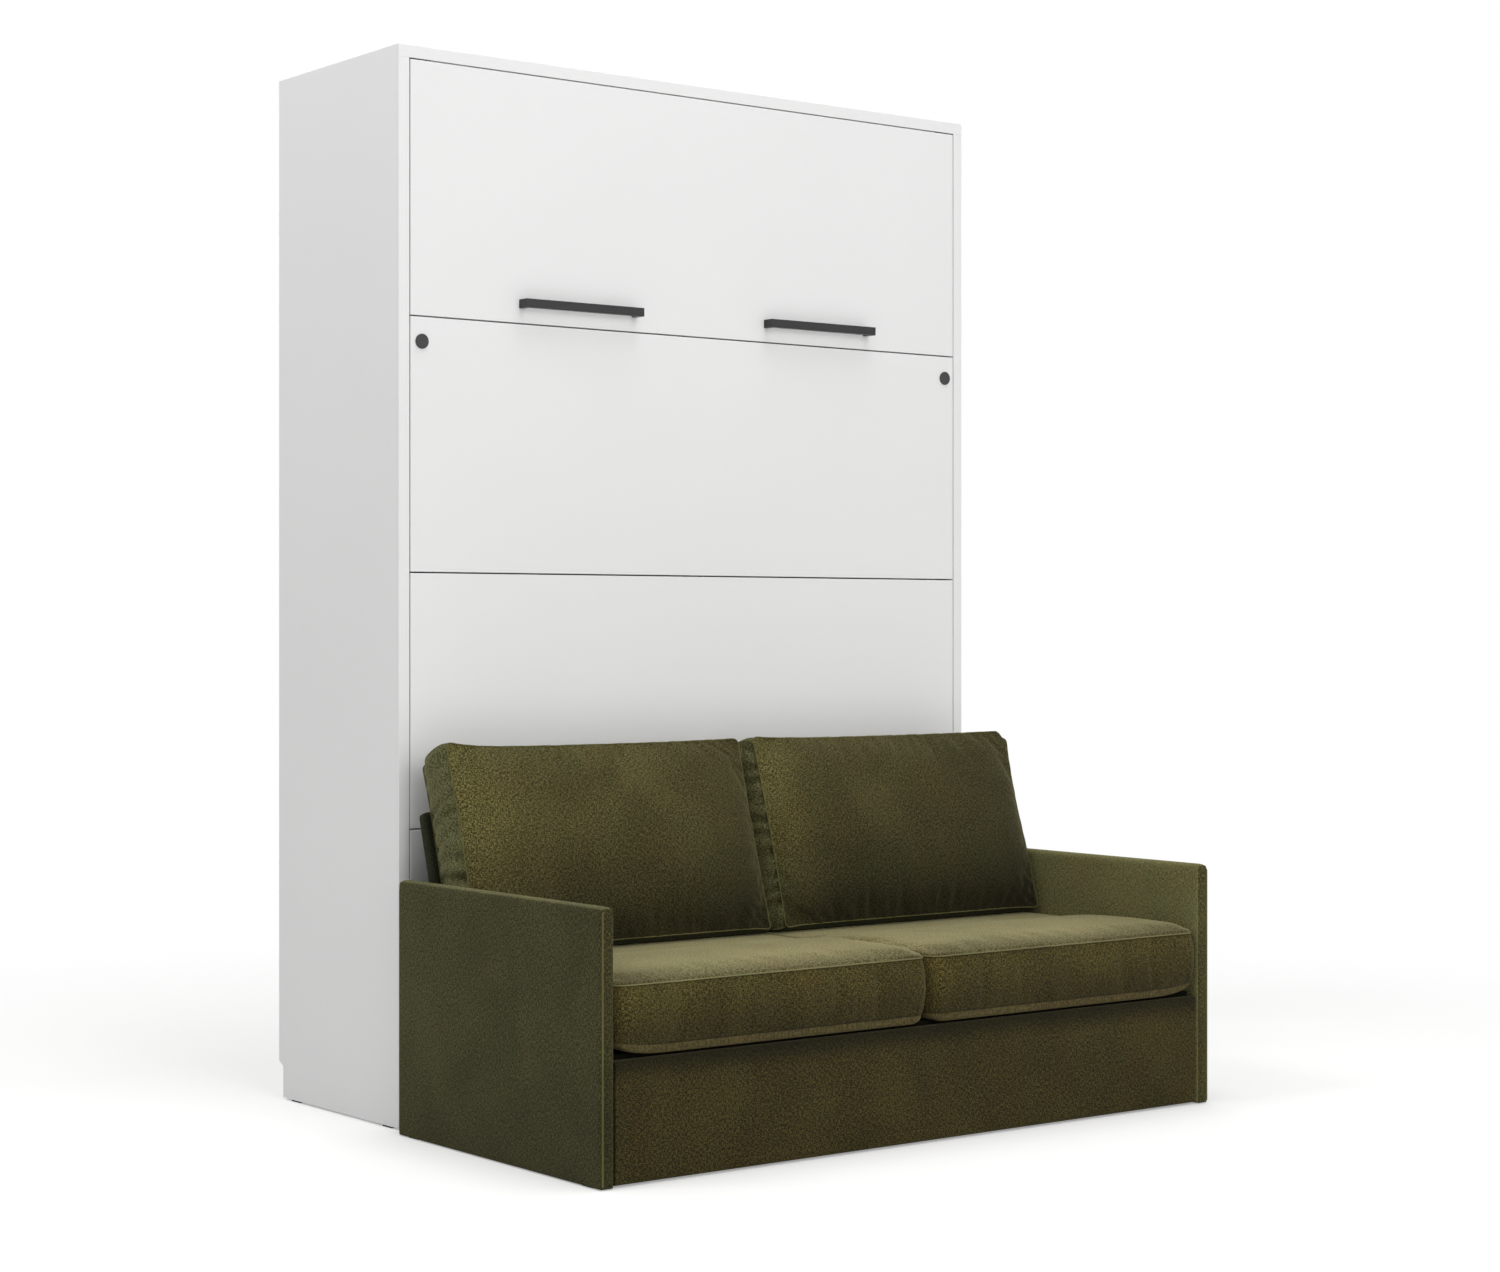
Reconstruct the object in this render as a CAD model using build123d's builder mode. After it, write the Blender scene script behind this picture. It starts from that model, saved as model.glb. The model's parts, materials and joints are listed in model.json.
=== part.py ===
from build123d import *
from math import atan2, cos, degrees, hypot, radians, sin
import os

os.makedirs("parts", exist_ok=True)

# Millimetres. +Z is up, +Y points to the wall, the origin lies on the floor at the centre of the plan.
# Depths are counted from the front plane of the cabinet, positive towards the wall.

# Cabinet
cabinet_width = 1530
cabinet_height = 2180
cabinet_depth = 490
carcass_board = 25
back_board = 18
rail_board = 18
board_edge_round = 1
skirting_height = 71
skirting_bevel = 10
plinth_top = 88
wall_rail_height = 80
wall_hole_radius = 4
wall_hole_spacing_x = 1200
wall_hole_spacing_z = 40

# Glides under the cabinet sides and the sofa arms
glide_height = 4
glide_length = 34
glide_width = 20
glide_inset = 50

# Front of the bed: four boards one above the other
front_board = 18
front_side_gap = 2.5
front_top_gap = 2.6
front_pitch = 517
front_joint = 3
front_foot_gap = 7
front_count = 4
stop_pad_length = 52
stop_pad_width = 14
stop_pad_height = 2

# Handles
handle_length = 300
handle_section = 18
handle_bar = 11
handle_leg = 12
handle_projection = 30
handle_centre_x = 324.5
handle_rise = 39.1
handle_edge_round = 1
handle_screw_radius = 2
handle_screw_bite = 9
handle_screw_head_radius = 4.5
handle_screw_head = 2.6
screw_hole_clearance = 0.2

# Bed frame of square steel tube with timber slats
pivot_depth = 40
pivot_height = 515
frame_side_gap = 45
rail_width = 25
rail_depth = 40
rail_wall = 2
frame_foot = 145
frame_head_gap = 26
centre_beam_width = 30
slat_count = 14
slat_width = 53
slat_thickness = 8
slat_chamfer = 2
slat_end_gap = 2
slat_first = 62
holder_length = 61
holder_reach = 24
holder_wall = 3
holder_foot = 4

# Mattress and the straps that hold it
mattress_side_gap = 0.6
mattress_head_gap = 18
mattress_thickness = 180
mattress_foot = 137
mattress_round = 22
soft_gap = 0.3
strap_width = 40
strap_thickness = 2
strap_foot_distance = 283
strap_head_distance = 357
strap_lap = 26
strap_corner = 12

# Bed pivots
bolt_radius = 8
bolt_end_gap = 0.4
running_clearance = 0.05
nut_width = 20
nut_length = 9
bush_wall = 2
bush_flange_radius = 15
bush_flange = 2
bracket_thickness = 2
bracket_width = 60
bracket_length = 150
bracket_corner = 12
bracket_screw_pitch = 112
bracket_screw_spread = 34
bracket_boss_radius = 18
bracket_boss_length = 14
pivot_plate_thickness = 5
pivot_plate_width = 36
pivot_plate_length = 120
pivot_plate_round = 8
collar_radius = 13
collar_gap = 0.5
screw_radius = 2
screw_length = 14
screw_head_radius = 3.9

# Gas struts between the carcass and the tail of the bed
strut_anchor_depth = 330
strut_anchor_height = 900
strut_lever = 240
strut_radius = 11
strut_wall = 1.5
strut_wall_end = 8
strut_side_gap = 18
rod_radius = 5
piston_length = 10
piston_gap = 6
strut_stud_radius = 4
strut_eye_radius = 9
strut_eye_thickness = 8
strut_eye_neck = 18
rod_end_radius = 9
rod_end_thickness = 15
anchor_plate = 56
anchor_plate_thickness = 4
anchor_plate_round = 8
stud_head_radius = 6.5
stud_head = 1.5
lower_plate_radius = 14
lower_plate_thickness = 3

# Pull-out legs, one sleeve and three draws each
leg_drop = 49.4
leg_sleeve_radius = 13.8
leg_wall = 1.5
leg_step = 0.05
leg_stages = 3
leg_sleeve_length = 235
leg_draw_length = 226
leg_front_set = 0.8
leg_hole_clearance = 0.3
leg_cap_lip = 1.2
leg_cap_thickness = 3.4
leg_cap_gap = 0.3
leg_cap_spigot = 14
leg_cap_chamfer = 1
clamp_wall = 2.2
clamp_length = 26
clamp_start = 24
clamp_height = 34

# Sofa
sofa_overhang = 28
sofa_gap = 40
sofa_projection = 735
arm_thickness = 32
arm_top = 508
arm_round = 7
apron_drop = 8
apron_thickness = 28
apron_set = 3
apron_foot = 8
apron_round = 5
base_side_gap = 0.3
rear_panel_front = 138
rear_panel_thickness = 28
rear_panel_top = 419
rear_panel_foot = 30
deck_top = 236
deck_thickness = 14
deck_batten_width = 40
deck_batten_height = 60
deck_batten_inset = 260.7
link_height = 44
link_width = 40
link_flange = 40
link_steel = 3
link_inset = 180

# Folding backrest and its hinges
backrest_lean = 16
backrest_side_gap = 6
backrest_thickness = 28
backrest_start = 12
backrest_end = 209
backrest_round = 9
hinge_inset = 155
hinge_rise = 21
hinge_pin_radius = 4
hinge_knuckle_radius = 8
hinge_knuckle_half = 12
hinge_fixed_knuckle = 14
hinge_side_gap = 0.3
hinge_web = 10
hinge_neck = 4
hinge_foot_width = 12
hinge_foot = 3

# Seat cushions
seat_centre_gap = 10
seat_side_gap = 4
seat_bulge = 8
seat_seam_rise = 14
seat_band = 114
seat_front_set = 3
seat_under_front = 26
seat_shoulder_depth = 44
seat_shoulder_rise = 28
seat_crown_rise = 12
seat_rear_height = 131.7
seat_rear_flat = 168
seat_rear_gap = 6
seat_rear_round = 12
seat_corner = 16
seat_side_draw = 10

# Back cushions, leaning with the backrest and resting on the seat
back_centre_gap = 7
back_side_gap = 16
back_gusset = 105
back_crown = 27
back_top = 324.5
back_top_puff = 5
back_rounding = 11
back_corner = 16
back_side_draw = 9

# Shares that shape the cushions: places of the cross-sections, how full they are, and how round an arc is
near_corner_share = 0.25
near_corner_draw_share = 0.4
near_corner_crown_share = 0.05
corner_crown_share = 0.15
side_place_share = 0.16
side_crown_share = 0.56
inner_place_share = 0.4
inner_crown_share = 0.86
seat_front_fill_share = 0.5
back_side_fill_share = 0.25
arc_share = 0.25
shoulder_share = 1 / 3

# Worked-out sizes of the cabinet
sides = (("left", -1), ("right", 1))
overall_depth = cabinet_depth + sofa_projection + seat_bulge
front_y = overall_depth / 2 - cabinet_depth
inner_half_width = cabinet_width / 2 - carcass_board
inner_top = cabinet_height - carcass_board
inner_back = cabinet_depth - back_board
wall_rail_centre = inner_top - wall_rail_height / 2
front_half_width = inner_half_width - front_side_gap
front_top = inner_top - front_top_gap
front_foot = plinth_top + front_foot_gap
handle_height = front_top - front_pitch + front_joint + handle_rise

# Worked-out sizes of the bed
frame_half_width = inner_half_width - frame_side_gap
frame_back = front_board + rail_depth
frame_head = inner_top - frame_head_gap
frame_length = frame_head - frame_foot
rail_inner = frame_half_width - rail_width
mattress_half_width = frame_half_width - mattress_side_gap
mattress_front = frame_back + soft_gap
mattress_back = mattress_front + mattress_thickness
mattress_head = inner_top - mattress_head_gap
strap_heights = (mattress_foot + strap_foot_distance, mattress_head - strap_head_distance)
strut_offset_x = inner_half_width - strut_side_gap
strut_bore = strut_radius - strut_wall
clamp_radius = leg_sleeve_radius + clamp_wall
leg_cap_radius = leg_sleeve_radius + leg_cap_lip
leg_centre_x = frame_half_width + clamp_radius
leg_height = front_top - front_pitch - leg_drop

# Worked-out sizes of the sofa
sofa_half_width = cabinet_width / 2 + sofa_overhang
arm_inner = sofa_half_width - arm_thickness
base_half = arm_inner - base_side_gap
apron_top = deck_top - apron_drop
deck_batten_spread = base_half - deck_batten_inset
link_spread = inner_half_width - link_inset
backrest_half_width = arm_inner - backrest_side_gap
backrest_axis_depth = -rear_panel_front + rear_panel_thickness / 2
backrest_axis_height = rear_panel_top + hinge_rise
hinge_spread = backrest_half_width - hinge_inset
seat_seam_low = deck_top + seat_seam_rise
seat_seam_high = seat_seam_low + seat_band
seat_shoulder_height = seat_seam_high + seat_shoulder_rise
seat_rear_depth = rear_panel_front + seat_rear_gap
seat_rear_level = deck_top + seat_rear_height
back_foot_level = seat_rear_level + soft_gap

print("underside of the lowered bed", pivot_height - pivot_depth)


# Planes of the three views, placed on the front plane of the cabinet

def section_plane(x):
    return Plane(origin=(x, front_y, 0), x_dir=(0, 1, 0), z_dir=(1, 0, 0))


def elevation_plane(depth):
    return Plane(origin=(0, front_y + depth, 0), x_dir=(1, 0, 0), z_dir=(0, -1, 0))


def plan_plane(height):
    return Plane(origin=(0, front_y, height), x_dir=(1, 0, 0), z_dir=(0, 0, 1))


def save(piece, label):
    piece.part.label = label
    export_step(piece.part, f"parts/{label}.step")


def board(x_range, depth_range, height_range, round_edges=False):
    # A plain board; its front edges are rounded like edge banding where they show
    x0, x1 = x_range
    d0, d1 = depth_range
    z0, z1 = height_range
    with BuildPart() as piece:
        with BuildSketch(plan_plane(z0)):
            with Locations(((x0 + x1) / 2, (d0 + d1) / 2)):
                Rectangle(x1 - x0, d1 - d0)
        extrude(amount=z1 - z0)
        if round_edges:
            fillet(piece.faces().sort_by(Axis.Y)[0].edges(), radius=board_edge_round)
    return piece


# Cabinet carcass

def build_side_panel(side, sign):
    outer = sign * cabinet_width / 2
    inner = sign * inner_half_width
    x_range = (min(outer, inner), max(outer, inner))
    with BuildPart() as piece:
        add(board(x_range, (0, inner_back), (glide_height, inner_top), True).part)
        with BuildSketch(section_plane(inner)):
            with Locations(*bracket_screw_points()):
                Circle(screw_radius)
        extrude(amount=sign * screw_length, mode=Mode.SUBTRACT)
    save(piece, f"side_panel_{side}")


def bracket_screw_points():
    depths = (pivot_depth - bracket_screw_spread / 2, pivot_depth + bracket_screw_spread / 2)
    heights = (pivot_height - bracket_screw_pitch / 2, pivot_height + bracket_screw_pitch / 2)
    return [(depth, height) for depth in depths for height in heights]


def wall_hole_points(centre_height):
    half_x = wall_hole_spacing_x / 2
    half_z = wall_hole_spacing_z / 2
    return [(x, centre_height + z) for x in (-half_x, half_x) for z in (-half_z, half_z)]


def build_back_panel():
    # The back board covers the carcass and stops above the skirting with a bevelled lower edge
    with BuildPart() as piece:
        with BuildSketch(section_plane(-cabinet_width / 2)):
            with BuildLine():
                Polyline(
                    (inner_back, skirting_height),
                    (cabinet_depth, skirting_height + skirting_bevel),
                    (cabinet_depth, cabinet_height),
                    (inner_back, cabinet_height),
                    close=True,
                )
            make_face()
        extrude(amount=cabinet_width)
        with BuildSketch(elevation_plane(inner_back)):
            with Locations(*wall_hole_points(wall_rail_centre)):
                Circle(wall_hole_radius)
        extrude(amount=-back_board, mode=Mode.SUBTRACT)
    save(piece, "back_panel")


def build_wall_rail():
    low = inner_top - wall_rail_height
    with BuildPart() as piece:
        with BuildSketch(elevation_plane(inner_back - rail_board)):
            with Locations((0, low + wall_rail_height / 2)):
                Rectangle(2 * inner_half_width, wall_rail_height)
            with Locations(*wall_hole_points(wall_rail_centre)):
                Circle(wall_hole_radius, mode=Mode.SUBTRACT)
        extrude(amount=-rail_board)
    save(piece, "wall_rail")


def build_glides():
    cabinet_x = cabinet_width / 2 - carcass_board / 2
    arm_x = sofa_half_width - arm_thickness / 2
    cabinet_spots = [(s * cabinet_x, d) for s in (-1, 1) for d in (glide_inset, inner_back - glide_inset)]
    arm_depths = (-sofa_gap - glide_inset, -sofa_projection + glide_inset)
    sofa_spots = [(s * arm_x, d) for s in (-1, 1) for d in arm_depths]
    with BuildPart() as piece:
        with BuildSketch(plan_plane(0)):
            with Locations(*(cabinet_spots + sofa_spots)):
                Rectangle(glide_width, glide_length)
        extrude(amount=glide_height)
    save(piece, "glides")


def build_stop_pads():
    # Two rubber strips on the underside of the top panel, at its corners
    centre_x = inner_half_width - stop_pad_length / 2
    with BuildPart() as piece:
        with BuildSketch(plan_plane(inner_top)):
            with Locations((-centre_x, front_board / 2), (centre_x, front_board / 2)):
                Rectangle(stop_pad_length, stop_pad_width)
        extrude(amount=-stop_pad_height)
    save(piece, "stop_pads")


for side, sign in sides:
    build_side_panel(side, sign)
half_cabinet = cabinet_width / 2
inner_span = (-inner_half_width, inner_half_width)
save(board((-half_cabinet, half_cabinet), (0, inner_back), (inner_top, cabinet_height), True), "top_panel")
save(board(inner_span, (0, rail_board), (glide_height, plinth_top)), "plinth_board")
save(board(inner_span, (inner_back - rail_board, inner_back), (glide_height, plinth_top)), "lower_rail")
build_back_panel()
build_wall_rail()
build_glides()
build_stop_pads()


# Front boards of the bed

def build_front_boards():
    names = ("bottom", "lower", "upper", "top")
    for index, name in enumerate(names):
        upper_edge = front_top - (front_count - 1 - index) * front_pitch
        lower_edge = upper_edge - front_pitch + front_joint
        if index == 0:
            lower_edge = front_foot
        span = (-front_half_width, front_half_width)
        with BuildPart() as piece:
            with BuildSketch(elevation_plane(front_board)):
                with Locations((0, (upper_edge + lower_edge) / 2)):
                    Rectangle(span[1] - span[0], upper_edge - lower_edge)
            extrude(amount=front_board)
            fillet(piece.faces().sort_by(Axis.Y)[0].edges(), radius=board_edge_round)
            if name == "upper":
                with BuildSketch(elevation_plane(front_board)):
                    with Locations((-leg_centre_x, leg_height), (leg_centre_x, leg_height)):
                        Circle(leg_sleeve_radius + leg_hole_clearance)
                extrude(amount=front_board, mode=Mode.SUBTRACT)
            if name == "top":
                with BuildSketch(elevation_plane(front_board)):
                    with Locations(*handle_screw_points()):
                        Circle(handle_screw_radius + screw_hole_clearance)
                extrude(amount=front_board, mode=Mode.SUBTRACT)
        save(piece, f"front_board_{name}")


def handle_screw_points():
    reach = handle_length / 2 - handle_leg / 2
    centres = (-handle_centre_x, handle_centre_x)
    return [(centre + end * reach, handle_height) for centre in centres for end in (-1, 1)]


def build_handle(side, sign):
    # A square bar on two end legs, drawn in plan and extruded upwards
    left = sign * handle_centre_x - handle_length / 2
    right = left + handle_length
    face = -handle_projection
    inner = face + handle_bar
    with BuildPart() as piece:
        with BuildSketch(plan_plane(handle_height - handle_section / 2)):
            with BuildLine():
                Polyline(
                    (left, 0),
                    (left, face),
                    (right, face),
                    (right, 0),
                    (right - handle_leg, 0),
                    (right - handle_leg, inner),
                    (left + handle_leg, inner),
                    (left + handle_leg, 0),
                    close=True,
                )
            make_face()
        extrude(amount=handle_section)
        fillet(piece.faces().sort_by(Axis.Y)[0].edges(), radius=handle_edge_round)
        with BuildSketch(elevation_plane(0)):
            with Locations((left + handle_leg / 2, handle_height), (right - handle_leg / 2, handle_height)):
                Circle(handle_screw_radius)
        extrude(amount=handle_screw_bite, mode=Mode.SUBTRACT)
    save(piece, f"handle_{side}")


def build_handle_screws():
    with BuildPart() as piece:
        with BuildSketch(elevation_plane(front_board)):
            with Locations(*handle_screw_points()):
                Circle(handle_screw_radius)
        extrude(amount=front_board + handle_screw_bite)
        with BuildSketch(elevation_plane(front_board)):
            with Locations(*handle_screw_points()):
                Circle(handle_screw_head_radius)
        extrude(amount=-handle_screw_head)
    save(piece, "handle_screws")


build_front_boards()
for side, sign in sides:
    build_handle(side, sign)
build_handle_screws()


# Bed frame

def tube(x_range, height_range, along_x, bolt_hole=False):
    # Square tube between the front boards and the slats, open at its two ends
    x0, x1 = x_range
    z0, z1 = height_range
    middle_depth = (front_board + frame_back) / 2
    with BuildPart() as piece:
        if along_x:
            with BuildSketch(section_plane(x0)):
                with Locations((middle_depth, (z0 + z1) / 2)):
                    Rectangle(rail_depth, z1 - z0)
                    Rectangle(rail_depth - 2 * rail_wall, z1 - z0 - 2 * rail_wall, mode=Mode.SUBTRACT)
            extrude(amount=x1 - x0)
        else:
            with BuildSketch(plan_plane(z0)):
                with Locations(((x0 + x1) / 2, middle_depth)):
                    Rectangle(x1 - x0, rail_depth)
                    Rectangle(x1 - x0 - 2 * rail_wall, rail_depth - 2 * rail_wall, mode=Mode.SUBTRACT)
            extrude(amount=z1 - z0)
        if bolt_hole:
            outer_wall = x1 - rail_wall if x1 > 0 else x0
            with BuildSketch(section_plane(outer_wall)):
                with Locations((pivot_depth, pivot_height)):
                    Circle(bolt_radius)
            extrude(amount=rail_wall, mode=Mode.SUBTRACT)
    return piece


def slat_heights():
    low = frame_foot + slat_first
    step = (frame_length - 2 * slat_first) / (slat_count - 1)
    return [low + index * step for index in range(slat_count)]


def build_centre_beam():
    # Flat tube that carries the slats half way along
    beam_back = frame_back - slat_thickness
    low = frame_foot + rail_width
    with BuildPart() as piece:
        with BuildSketch(plan_plane(low)):
            with Locations((0, (front_board + beam_back) / 2)):
                Rectangle(centre_beam_width, beam_back - front_board)
                hollow = (centre_beam_width - 2 * rail_wall, beam_back - front_board - 2 * rail_wall)
                Rectangle(*hollow, mode=Mode.SUBTRACT)
        extrude(amount=frame_length - 2 * rail_width)
    save(piece, "centre_beam")


def build_slats():
    reach = rail_inner - holder_wall - slat_end_gap
    with BuildPart() as piece:
        with BuildSketch(section_plane(-reach)):
            with Locations(*[(frame_back - slat_thickness / 2, z) for z in slat_heights()]):
                Rectangle(slat_thickness, slat_width)
        extrude(amount=2 * reach)
        chamfer(piece.edges().filter_by(Axis.X), length=slat_chamfer)
    save(piece, "slats")


def build_slat_holders():
    # Moulded cups on the inner faces of the side rails; each grips the end of one slat
    cup_depth = slat_thickness + holder_foot
    with BuildPart() as piece:
        for sign in (-1, 1):
            outer = sign * rail_inner
            with BuildSketch(section_plane(outer)):
                with Locations(*[(frame_back - cup_depth / 2, z) for z in slat_heights()]):
                    Rectangle(cup_depth, holder_length)
            extrude(amount=-sign * holder_reach)
            with BuildSketch(section_plane(outer - sign * holder_wall)):
                with Locations(*[(frame_back - slat_thickness / 2, z) for z in slat_heights()]):
                    Rectangle(slat_thickness, slat_width)
            extrude(amount=-sign * holder_reach, mode=Mode.SUBTRACT)
    save(piece, "slat_holders")


def build_cross_rails():
    # Two equal tubes between the side rails, one at the foot and one at the head
    span = (-rail_inner, rail_inner)
    with BuildPart() as piece:
        add(tube(span, (frame_foot, frame_foot + rail_width), True).part)
        add(tube(span, (frame_head - rail_width, frame_head), True).part)
    save(piece, "frame_cross_rails")


rail_heights = (frame_foot, frame_head)
save(tube((-frame_half_width, -rail_inner), rail_heights, False, True), "frame_rail_left")
save(tube((rail_inner, frame_half_width), rail_heights, False, True), "frame_rail_right")
build_cross_rails()
build_centre_beam()
build_slats()
build_slat_holders()


# Mattress and straps

def build_mattress():
    with BuildPart() as piece:
        with BuildSketch(elevation_plane(mattress_front)):
            with Locations((0, (mattress_foot + mattress_head) / 2)):
                Rectangle(2 * mattress_half_width, mattress_head - mattress_foot)
        extrude(amount=-mattress_thickness)
        fillet(piece.edges(), radius=mattress_round)
    save(piece, "mattress")


def build_mattress_straps():
    # Each strap starts on the outer face of one side rail, goes over the mattress and back to the other
    inner = frame_half_width
    outer = inner + strap_thickness
    under = mattress_back + soft_gap
    over = under + strap_thickness
    start = frame_back - strap_lap
    with BuildPart() as piece:
        for height in strap_heights:
            with BuildSketch(plan_plane(height - strap_width / 2)):
                with BuildLine():
                    inside = ((-inner, start), (-inner, under), (inner, under), (inner, start))
                    outside = ((outer, start), (outer, over), (-outer, over), (-outer, start))
                    FilletPolyline(*inside, radius=strap_corner)
                    Line((inner, start), (outer, start))
                    FilletPolyline(*outside, radius=strap_corner + strap_thickness)
                    Line((-outer, start), (-inner, start))
                make_face()
            extrude(amount=strap_width)
    save(piece, "mattress_straps")


build_mattress()
build_mattress_straps()


# Bed pivots

def build_carcass_brackets():
    # Thin plate on each side panel with a bored boss; the screws are countersunk
    bush_outer = bolt_radius + running_clearance + bush_wall
    face = inner_half_width - bracket_thickness
    with BuildPart() as piece:
        with BuildSketch(section_plane(inner_half_width)):
            with Locations((pivot_depth, pivot_height)):
                Rectangle(bracket_width, bracket_length)
        extrude(amount=-bracket_thickness)
        chamfer(piece.edges().filter_by(Axis.X), length=bracket_corner)
        with BuildSketch(section_plane(face)):
            with Locations((pivot_depth, pivot_height)):
                Circle(bracket_boss_radius)
        extrude(amount=-bracket_boss_length)
        with BuildSketch(section_plane(inner_half_width)):
            with Locations((pivot_depth, pivot_height)):
                Circle(bush_outer)
        extrude(amount=-bracket_thickness - bracket_boss_length, mode=Mode.SUBTRACT)
        countersinks = bracket_screw_cones()
        add(countersinks.part, mode=Mode.SUBTRACT)
        mirror(about=Plane.YZ)
    save(piece, "carcass_brackets")


def bracket_screw_cones():
    # Countersunk heads, widest at the face of the bracket
    with BuildPart() as cones:
        with Locations(section_plane(inner_half_width - bracket_thickness / 2)):
            with Locations(*[(depth, height, 0) for depth, height in bracket_screw_points()]):
                Cone(screw_head_radius, screw_radius, bracket_thickness)
    return cones


def build_bracket_screws():
    with BuildPart() as piece:
        add(bracket_screw_cones().part)
        with BuildSketch(section_plane(inner_half_width)):
            with Locations(*bracket_screw_points()):
                Circle(screw_radius)
        extrude(amount=screw_length)
        mirror(about=Plane.YZ)
    save(piece, "bracket_screws")


def build_pivot_bushes():
    bore = bolt_radius + running_clearance
    boss_face = inner_half_width - bracket_thickness - bracket_boss_length
    with BuildPart() as piece:
        with BuildSketch(section_plane(inner_half_width)):
            with Locations((pivot_depth, pivot_height)):
                Circle(bore + bush_wall)
                Circle(bore, mode=Mode.SUBTRACT)
        extrude(amount=-bracket_thickness - bracket_boss_length)
        with BuildSketch(section_plane(boss_face)):
            with Locations((pivot_depth, pivot_height)):
                Circle(bush_flange_radius)
                Circle(bore, mode=Mode.SUBTRACT)
        extrude(amount=-bush_flange)
        mirror(about=Plane.YZ)
    save(piece, "pivot_bushes")


def build_pivot_plates():
    with BuildPart() as piece:
        with BuildSketch(section_plane(frame_half_width)):
            with Locations((pivot_depth, pivot_height)):
                RectangleRounded(pivot_plate_width, pivot_plate_length, pivot_plate_round)
                Circle(bolt_radius, mode=Mode.SUBTRACT)
        extrude(amount=pivot_plate_thickness)
        mirror(about=Plane.YZ)
    save(piece, "pivot_plates")


def build_pivot_bolts():
    # A weld nut inside the rail, the shank through rail and plate, a collar and the journal in the bush
    nut_face = frame_half_width - rail_wall
    plate_face = frame_half_width + pivot_plate_thickness
    boss_face = inner_half_width - bracket_thickness - bracket_boss_length
    collar_end = boss_face - bush_flange - collar_gap
    journal_end = inner_half_width - bolt_end_gap
    with BuildPart() as piece:
        with BuildSketch(section_plane(nut_face)):
            with Locations((pivot_depth, pivot_height)):
                RegularPolygon(nut_width / 2, 6, major_radius=False)
        extrude(amount=-nut_length)
        with BuildSketch(section_plane(nut_face)):
            with Locations((pivot_depth, pivot_height)):
                Circle(bolt_radius)
        extrude(amount=journal_end - nut_face)
        with BuildSketch(section_plane(plate_face)):
            with Locations((pivot_depth, pivot_height)):
                Circle(collar_radius)
        extrude(amount=collar_end - plate_face)
        mirror(about=Plane.YZ)
    save(piece, "pivot_bolts")


build_carcass_brackets()
build_bracket_screws()
build_pivot_bushes()
build_pivot_plates()
build_pivot_bolts()


# Gas struts

lower_stud = (pivot_depth, pivot_height - strut_lever)
strut_run = (lower_stud[0] - strut_anchor_depth, lower_stud[1] - strut_anchor_height)
strut_length = hypot(*strut_run)
strut_dir = (strut_run[0] / strut_length, strut_run[1] / strut_length)
lowered_stud = (pivot_depth + strut_lever, pivot_height)
lowered_run = (lowered_stud[0] - strut_anchor_depth, lowered_stud[1] - strut_anchor_height)
lowered_length = hypot(*lowered_run)
strut_turn = degrees(atan2(lowered_run[1], lowered_run[0]) - atan2(strut_run[1], strut_run[0]))
strut_stroke = strut_length - lowered_length
strut_piston_start = strut_eye_neck + strut_wall_end + piston_gap + strut_stroke
strut_body_length = strut_piston_start + piston_length + piston_gap + strut_wall_end
print("strut length", strut_length, "stroke", strut_stroke, "turn", strut_turn)


def strut_plane(x):
    # Sketch x runs down the strut from its upper eye
    origin = (x, front_y + strut_anchor_depth, strut_anchor_height)
    return Plane(origin=origin, x_dir=(0, strut_dir[0], strut_dir[1]), z_dir=(1, 0, 0))


def strut_cross_plane(x, distance):
    # Square to the strut at a distance from its upper eye
    depth = strut_anchor_depth + distance * strut_dir[0]
    height = strut_anchor_height + distance * strut_dir[1]
    direction = (0, strut_dir[0], strut_dir[1])
    return Plane(origin=(x, front_y + depth, height), x_dir=(1, 0, 0), z_dir=direction)


def build_strut_cylinder(side, sign):
    centre = sign * strut_offset_x
    with BuildPart() as piece:
        with BuildSketch(strut_cross_plane(centre, strut_eye_neck)):
            Circle(strut_radius)
        extrude(amount=strut_body_length - strut_eye_neck)
        with BuildSketch(strut_cross_plane(centre, strut_eye_neck + strut_wall_end)):
            Circle(strut_bore)
        extrude(amount=strut_body_length - strut_eye_neck - 2 * strut_wall_end, mode=Mode.SUBTRACT)
        with BuildSketch(strut_cross_plane(centre, strut_body_length - strut_wall_end)):
            Circle(rod_radius + running_clearance)
        extrude(amount=strut_wall_end, mode=Mode.SUBTRACT)
        with BuildSketch(strut_plane(centre - strut_eye_thickness / 2)):
            Circle(strut_eye_radius)
            with Locations((strut_eye_neck / 2, 0)):
                Rectangle(strut_eye_neck, strut_eye_radius)
            Circle(strut_stud_radius + running_clearance, mode=Mode.SUBTRACT)
        extrude(amount=strut_eye_thickness)
    save(piece, f"strut_cylinder_{side}")


def build_strut_rod(side, sign):
    # Piston inside the cylinder, rod, and a socket that faces the stud on the bed frame
    centre = sign * strut_offset_x
    inner_face = centre - sign * rod_end_thickness / 2
    with BuildPart() as piece:
        with BuildSketch(strut_cross_plane(centre, strut_piston_start)):
            Circle(strut_bore - running_clearance)
        extrude(amount=piston_length)
        with BuildSketch(strut_cross_plane(centre, strut_piston_start)):
            Circle(rod_radius)
        extrude(amount=strut_length - strut_piston_start)
        with BuildSketch(strut_plane(inner_face)):
            with Locations((strut_length, 0)):
                Circle(rod_end_radius)
        extrude(amount=sign * rod_end_thickness)
    save(piece, f"strut_rod_{side}")


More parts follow.
